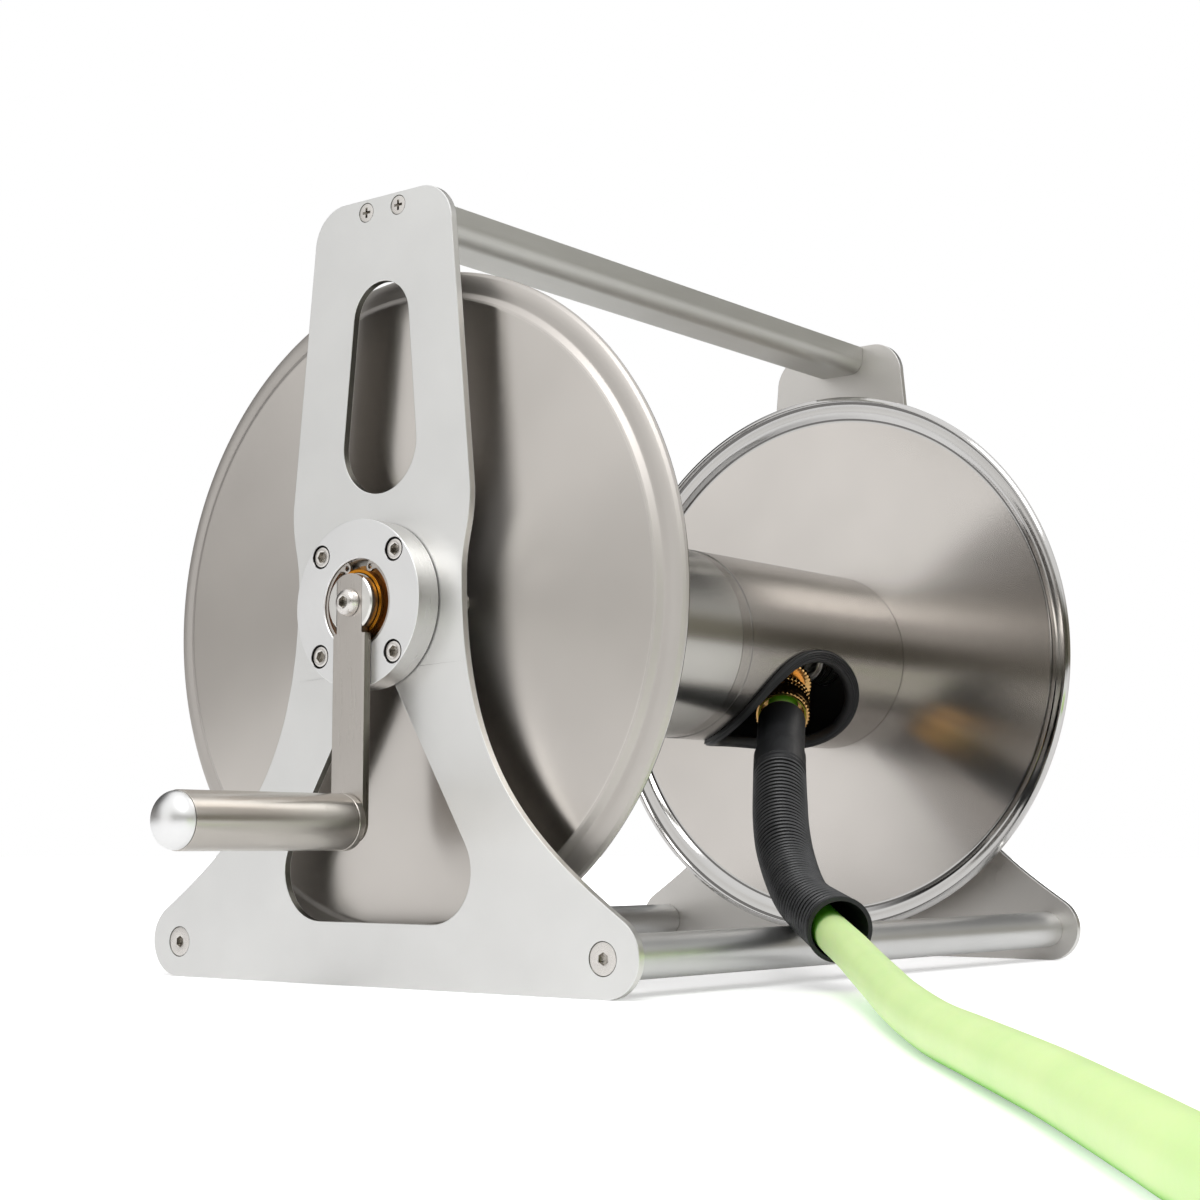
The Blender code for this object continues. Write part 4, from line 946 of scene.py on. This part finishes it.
def drum_core():
    inner = CORE_R - CORE_WALL
    band, band_end, dip, slope = 20, 28.5, 0.4, 0.9
    profile = [(CORE_END, inner), (CORE_END, CORE_R), (band_end + slope, CORE_R),
               (band_end, CORE_R - dip), (band, CORE_R - dip), (band - slope, CORE_R),
               (-CORE_END, CORE_R), (-CORE_END, inner)]
    tube = lathe("core", profile, True, 192, 0.15)
    rings = [[opening_point(turn, 0, radius) for turn in turns(96)]
             for radius in (0.75 * CORE_R, CORE_R - 2.6, CORE_R + 1, 1.8 * CORE_R)]
    hole = moved(skin("hole", rings), rotation(-90, "Y"))
    made = show("core", carve(tube, [hole]), "core", "drum", "drum_core", *at_hub(1))
    paint(made, "core_bright", lambda at, way, out: at.z < band + 4)
    paint(made, "seam",
          lambda at, way, out: band - 0.95 < at.z < band or band_end < at.z < band_end + 0.95)
    # The core's inner wall is painted near black: painted shade inside the drum
    paint(made, "inside", lambda at, way, out: out < inner + 0.2)


def opening_trim():
    """Rubber edging: a U round the edge of the opening, with fine ribs along it."""
    outer, inner = CORE_R + 0.3, CORE_R - CORE_WALL - 0.3
    steps, fine_ribs, high = 24, 5, 2.75
    top = []
    for i in range(steps + 1):
        t = i / steps
        rib = 0.28 * cos(2 * pi * fine_ribs * t) - 0.28
        top.append((4.2 - 6.4 * t, outer + high + rib - (2 * t - 1) ** 4))
    nose = [(-2.75, outer + 0.9), (-2.95, outer - 0.8), (-2.8, inner - 0.8), (-2.2, inner - 1.7)]
    under = [(-1.2, inner - 2.1), (3.4, inner - 2), (4, inner - 1.4), (4.1, inner)]
    slot = [(-0.3, inner), (-0.3, outer), (4.1, outer)]
    section = top + nose + under + slot
    rings = [[opening_point(turn, out, radius) for out, radius in section] for turn in turns(180)]
    mesh = skin("edging", rings, True, 60)
    show("edging", mesh, "edging", "drum", "opening_trim", (0, 0, HUB_Z))


def shafts():
    shoulder, start, back = SHAFT_R + 4, PLATE_INNER - 0.6, FLANGE_FACE + 0.9
    bolt_end, bolt_r, chamfer = 201, 4.4, 0.8
    neck = [(start, SHAFT_R), (start, shoulder), (back, shoulder), (back, SHAFT_R),
            (SHAFT_INNER_END, SHAFT_R)]
    crank = [(bolt_end, 0), (bolt_end, bolt_r), (SHAFT_END, bolt_r),
             (SHAFT_END, SHAFT_R - chamfer), (SHAFT_END - chamfer, SHAFT_R)]
    mesh = lathe("shaft_crank", crank + neck + [(SHAFT_INNER_END, 0)], segments=96, edge=0.2)
    slot_deep = ARM_THICK + 0.15
    size = (4 * SHAFT_R, TENON_WIDTH + 0.35, 2 * slot_deep)
    cube = bmesh.new()
    bmesh.ops.create_cube(cube, size=MM)
    slot = moved(new_mesh(cube, "slot"),
                 Matrix.Translation((0, 0, SHAFT_END)) @ Matrix.Diagonal((*size, 1)))
    made = show("shaft_crank", carve(mesh, [slot]), "shaft", "drum",
                "crank_shaft", *at_hub(-1))
    # The crank shaft's sides are painted dark steel: painted shade
    paint(made, "snap", lambda at, way, out: abs(way.z) < 0.3 and out > SHAFT_R - 0.3)
    spigot, spigot_end = 10.5, 243
    inlet = [(spigot_end, WATER_R), (spigot_end, spigot), (SHAFT_END, spigot),
             (SHAFT_END, SHAFT_R)] + neck + [(SHAFT_INNER_END, WATER_R)]
    turned("shaft_inlet", inlet, "steel_screw", "drum", "inlet_shaft", at_hub(1), True, 96)


def crank_arm():
    half, tenon, notch = ARM_WIDTH / 2, TENON_WIDTH / 2, 0.4
    top, shoulder = SHAFT_R - 0.4, -(SHAFT_R + 0.3)
    lean = degrees(asin(tenon / top))
    outline = arc((0, 0), top, 90 - lean, 90 + lean, 12)
    outline += [(-tenon, shoulder + notch), (-tenon - notch, shoulder), (-half, shoulder)]
    outline += arc((0, -CRANK_LENGTH), half, 180, 360, 36)
    outline += [(half, shoulder), (tenon + notch, shoulder), (tenon, shoulder + notch)]
    holes = [circle((0, 0), 4.4, 32), circle((0, -CRANK_LENGTH), 5.2, 32)]
    mesh = sheet_mesh("arm", [outline] + holes, ARM_THICK, 0.2)
    moved(mesh, rotation(90, "Z") @ rotation(90, "X"))
    made = show("arm", mesh, "brushed", "drum", "crank_arm",
                (-(SHAFT_END - ARM_THICK / 2), 0, HUB_Z))
    # The arm's side faces are painted dark: painted shade
    paint(made, "arm_edge", lambda at, way, out: abs(way.x) < 0.4)
    screw("arm_screw", socket_screw("arm_bolt", 5, 2.4, ARM_HEAD), "drum",
          ((-(SHAFT_END + 4.5), 0, HUB_Z), facing(-1)), piece="arm_bolt")


def grip():
    place = ((0, 0, HUB_Z - CRANK_LENGTH), facing(-1))
    back, collar_end = SHAFT_END - ARM_THICK, GRIP_START + 4
    head, head_end, head_r, pin_r = GRIP_END - 12, GRIP_END - 7, 8, 5
    spindle = [(head_end, 0), (head_end, head_r - 0.6), (head_end - 0.6, head_r), (head, head_r),
               (head, pin_r), (back, pin_r), (back, 0)]
    turned("spindle", spindle, "polished", "drum", "grip_spindle", place, segments=48)
    inside, run = GRIP_R - 1.6, 5.5
    plug, collar_r = inside - 0.3, GRIP_R + 0.15
    collar = [(collar_end + 8, run), (collar_end + 8, plug), (collar_end, plug),
              (collar_end, collar_r), (GRIP_START, collar_r), (GRIP_START, run)]
    turned("collar", collar, "grip", "grip", "grip_collar", place, True, 96, 0.5)
    start = collar_end + 0.35
    tube = [(GRIP_END, inside), (GRIP_END, GRIP_R), (start, GRIP_R), (start, inside)]
    turned("tube", tube, "grip", "grip", "grip_tube", place, True, 128, 0.25)
    low, high = head - 10, head - 0.3
    inner = [(high, run), (high, plug), (low, plug), (low, run)]
    turned("inner_bush", inner, "nylon", "grip", "grip_bush", place, True, 64)
    rim, dome_x, dome_long = GRIP_R - 0.35, GRIP_END + 0.7, DOME - 0.4
    dome = [(dome_x + dome_long * cos(radians(a)), rim * sin(radians(a))) for a in range(0, 91, 6)]
    foot, plug_end = GRIP_END + 0.2, GRIP_END - 6
    cap = dome + [(foot, rim), (foot, plug), (plug_end, plug), (plug_end, 0)]
    turned("cap", cap, "mirror", "grip", "grip_cap", place, edge=0.15)


# Water way

def knurled(name, bands, inside, count):
    """(along, radius, knurled) rings over the outside, then plain (along, radius) rings inside."""
    rings = []
    for along, radius, cut_in in bands:
        tops = ring(radius, along, count)
        cuts = ring(radius * (1 - KNURL_DEEP * cut_in), along, count)
        rings.append([(cuts if i % 4 < 2 else tops)[i] for i in range(count)])
    return skin(name, rings + rings_of(inside, count), True, 30)


def water_way():
    corner, sides, bend_steps = 14, 64, 16
    path = [ELBOW + Vector((18.7, 0, 0))]
    for i in range(bend_steps + 1):
        t = i / bend_steps
        path.append(ELBOW + Vector((corner, 0, 0)) * (1 - t) ** 2 + OUTLET * corner * t * t)
    path.append(ELBOW + OUTLET * 30)
    rings = tube_rings(path, ELBOW_R, sides) + tube_rings(path, WATER_R, sides)[::-1]
    show("elbow", skin("elbow", rings, True), "stainless", "drum", "water_elbow")
    place = (ELBOW, OUTLET.to_track_quat("Z", "Y").to_euler())
    tail = [(TAIL_START, 14.9, 0), (30.8, TAIL_R, 1), (33.6, TAIL_R, 1), (34, 14.9, 0),
            (34.2, 12.2, 0), (46.8, 12.2, 0), (47, 14.6, 0), (47.4, 15.2, 1), (50.1, 15.2, 1),
            (50.5, 14.6, 0), (50.7, 12, 0), (TAIL_END, 12, 0)]
    mesh = knurled("tail", tail, [(TAIL_END, WATER_R), (TAIL_START, WATER_R)], 160)
    show("tail", mesh, "brass", "drum", "tail_piece", *place)
    nut = [(NUT_START, 14.6, 0), (52, 15.5, 1), (55, 15.5, 1), (55.4, 15.1, 0), (55.9, 15.1, 0),
           (57, 15.6, 0), (63, 15.6, 0), (64.1, 15.1, 0), (64.6, 15.1, 0), (65, 15.6, 1),
           (67.2, 15.6, 1), (NUT_FACE, 14.9, 0)]
    inside = [(NUT_FACE, 13.9), (66.4, 12.7), (NUT_START, 12.6)]
    show("nut", knurled("nut", nut, inside, 160), "brass", "drum", "coupling_nut", *place)


def water_inlet():
    cup_r, cup_start, cup_end, cup_round = 17, 227.8, 250, 3
    bore, bore_end = 12.7, 243.5
    cup = [(cup_end, 0), (cup_end, cup_r - cup_round), (cup_end - cup_round, cup_r),
           (cup_start, cup_r), (cup_start, bore), (bore_end, bore), (bore_end, 0)]
    turned("swivel", cup, "brass", "inlet", "inlet_swivel", at_hub(1), segments=96, edge=1.2)
    branch = ((BRANCH_X, 0, HUB_Z), (0, 0, 0))
    stem = [(-16, 6.5), (-16, 9), (-36, 9), (-36, 12.5), (-40, 12.5), (-40, 6.5)]
    turned("stem", stem, "brass", "inlet", "inlet_swivel", branch, True, 72)
    turned("seal", circle((235.7, 11.6), 0.8, 12), "rubber", "inlet", "inlet_seal", at_hub(1),
           True, 72, 0)
    nut = [(-41, 15.2, 0), (-41.8, 16.2, 1), (-58.6, 16.2, 1), (-60, 15.2, 0)]
    mesh = knurled("supply_nut", nut, [(-60, 13.6), (-59, 13), (-41, 13)], 120)
    show("supply_nut", mesh, "brass", "inlet_nut", "inlet_nut", *branch)


# Hose

def tube_rings(points, radius, count):
    """Rings of a tube along points, without twist.  radius is one number or one for each point."""
    radii = radius if isinstance(radius, list) else [radius] * len(points)
    ways = []
    for i in range(len(points)):
        a, b = points[max(0, i - 1)], points[min(len(points) - 1, i + 1)]
        ways.append((b - a).normalized())
    side = ways[0].orthogonal().normalized()
    rings = []
    for i, (point, way, size) in enumerate(zip(points, ways, radii)):
        if i:
            side = ways[i - 1].rotation_difference(way) @ side
            side = (side - way * side.dot(way)).normalized()
        up = way.cross(side)
        rings.append([point + (side * cos(turn) + up * sin(turn)) * size for turn in turns(count)])
    return rings


def smooth_path(points, steps=16):
    """A Catmull-Rom curve through the points."""
    ends = [points[0] * 2 - points[1]] + points + [points[-1] * 2 - points[-2]]
    path = []
    for a, b, c, d in zip(ends, ends[1:], ends[2:], ends[3:]):
        for i in range(steps):
            t = i / steps
            path.append(0.5 * (2 * b + (c - a) * t + (2 * a - 5 * b + 4 * c - d) * t * t
                               + (3 * b - a - 3 * c + d) * t ** 3))
    return path + [points[-1]]


def path_length(path):
    return sum((b - a).length for a, b in zip(path, path[1:]))


def along_path(path, stations):
    found, passed = [], 0.0
    stations = list(stations)
    for a, b in zip(path, path[1:]):
        step = (b - a).length
        while stations and passed + step >= stations[0]:
            found.append(a.lerp(b, (stations.pop(0) - passed) / step))
        passed += step
    return found + [path[-1]] * len(stations)


def coil_point(turns):
    """The coil runs inward on the floor, climbs, and runs outward on top of itself."""
    if turns <= COIL_TURNS_IN:
        inward, height = turns, 0.0
    elif turns <= COIL_TURNS_IN + COIL_CLIMB:
        share = (turns - COIL_TURNS_IN) / COIL_CLIMB
        inward = COIL_TURNS_IN + COIL_CLIMB / pi * sin(pi * share)
        height = (1 - cos(pi * share)) / 2
    else:
        inward, height = 2 * COIL_TURNS_IN + COIL_CLIMB - turns, 1.0
    radius = COIL_OUTER - COIL_PITCH * inward
    angle = pi + 2 * pi * turns
    return Vector((COIL_CENTRE[0] + radius * cos(angle), COIL_CENTRE[1] + radius * sin(angle),
                   ROUTE[-1][2] + COIL_LAYER * height))


def lead_path():
    start = [ELBOW + OUTLET * (TAIL_END + along) for along in (0.4, 10, 21)]
    coil_start = coil_point(0) + Vector((0, 2 * HOSE_R, 0))
    return smooth_path(start + [Vector(point) for point in ROUTE] + [coil_start])


def coil_points(length):
    """The CAD's coil, with points between its own on the same curve.  Its end leads up and out."""
    tail, away = 2 * HOSE_R, 0.12
    total, i, step = tail, 0, Vector()
    while total < length - tail:
        i += 1
        step = coil_point(i / COIL_STEPS) - coil_point((i - 1) / COIL_STEPS)
        total += step.length
    last = (i - (total - (length - tail)) / step.length) / COIL_STEPS
    steps = round(last * COIL_FINE_STEPS)
    points = [coil_point(last * k / steps) for k in range(steps + 1)]
    out = Vector((points[-1].x - COIL_CENTRE[0], points[-1].y - COIL_CENTRE[1], 0)).normalized()
    way = step.normalized() + out * away + Vector((0, 0, away))
    return points + [points[-1] + way * tail]


def size_at(shape, along):
    """A radius at a distance along the hose, from (distance, radius) pairs."""
    for (a, low), (b, high) in zip(shape, shape[1:]):
        if along <= b:
            return low + (high - low) * max(0.0, (along - a) / (b - a))
    return shape[-1][1]


def sleeve_line(path, stations):
    """The guard's centre line: the hose's, lifted toward the mouth."""
    found = []
    for point, along in zip(along_path(path, stations), stations):
        share = max(0.0, min(1.0, (along - MOUTH_FROM) / MOUTH_OVER))
        found.append(point + MOUTH_LIFT * share * share * (3 - 2 * share))
    return found


SLEEVE_SIDES = 48
NECK_STEPS = 12
RIB_POINTS = [(0.0, 1.0), (0.28, 1.0), (0.46, 0.25), (0.56, 0.0), (0.70, 0.0), (0.82, 0.4)]
# Rib crests take the painted highlight (1) and rib feet the painted shade (2)
RIB_SLOTS = (2, 2, 1, 1, 1, 2)  # the foot's look or the top's, from each point to the next
PLAIN_RIBS = 5
MOUTH_POINTS = [(0, 0.0), (0.8, 0.2), (1.8, 0.3), (2.5, 0.1)]


def guard(lead):
    """The ribbed guard over the hose's start, open at both ends."""
    first = SLEEVE_START + SLEEVE_NECK
    stations = [SLEEVE_START + 1.8, SLEEVE_START + 2.8]
    stations += [SLEEVE_START + (SLEEVE_NECK - 3) * i / NECK_STEPS for i in range(1, NECK_STEPS)]
    radii = [SLEEVE_R - 0.4] + [SLEEVE_R] * NECK_STEPS
    ribs_from = len(stations)
    for i in range(RIBS):
        deep = RIB_DEEP * max(0.0, min(1.0, (i - RIB_FADE) / RIB_FADE))
        for share, depth in RIB_POINTS:
            along = first + RIBS_LONG / RIBS * (i + share)
            stations.append(along)
            radii.append(size_at(RIB_SHAPE, along) - deep * depth)
    end = first + RIBS_LONG
    stations += [end + further for further, extra in MOUTH_POINTS]
    radii += [size_at(RIB_SHAPE, end) + extra for further, extra in MOUTH_POINTS]
    path = sleeve_line(lead, stations)
    outside = tube_rings(path, radii, SLEEVE_SIDES)
    inside = tube_rings(path, [size_at(BORE_SHAPE, a) for a in stations], SLEEVE_SIDES)
    mesh = skin("sleeve", outside + inside[::-1], True, 70)
    made = show("sleeve", mesh, "rubber", None, "bend_sleeve", weighted=False)
    # Rib crests get a painted highlight and rib feet painted shade
    mesh.materials.append(LOOKS["rib_top"])
    mesh.materials.append(LOOKS["rib_foot"])
    for face in mesh.polygons:
        rib, part = divmod(face.index // SLEEVE_SIDES - ribs_from, len(RIB_POINTS))
        if PLAIN_RIBS <= rib < RIBS:
            face.material_index = RIB_SLOTS[part]
    return made


def hose():
    lead = lead_path()
    coil = coil_points(HOSE_LENGTH / MM - path_length(lead))
    stations = [HOSE_STEP * i for i in range(int(path_length(lead) / HOSE_STEP))]
    points = along_path(lead, stations) + [lead[-1]] + coil
    mesh = skin("hose", tube_rings(points, HOSE_R, 32))
    made = show("hose", mesh, "hose", None, "hose_lead hose_coil", weighted=False)
    sleeve = guard(lead)
    back, end, bore = 0.4, COUPLING_LENGTH, 6.5
    fitting = [(end, bore), (end, 11), (26, 11), (26, 13), (20, 13), (20, 10.2), (back, 10.2),
               (back, bore)]
    way = (coil[-1] - coil[-2]).normalized().to_track_quat("Z", "Y").to_euler()
    end_place = (coil[-1], way)
    coupling = turned("coupling", fitting, "brass", "frame", "hose_end", end_place, True, 72)
    for piece in (made, sleeve):
        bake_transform(piece)


camera()
world()
floor()
lamp()
hose()
for side, word in SIDES:
    side_plate(side, word)
    bearing(side, word)
    bush(side, word)
    snap_ring(side, word)
    flange(side, word)
base_rod("front", -ROD_Y)
base_rod("rear", ROD_Y)
carry_handle()
frame_screws()
drum_core()
opening_trim()
shafts()
crank_arm()
grip()
water_way()
water_inlet()

bpy.context.scene.view_settings.view_transform = "Standard"
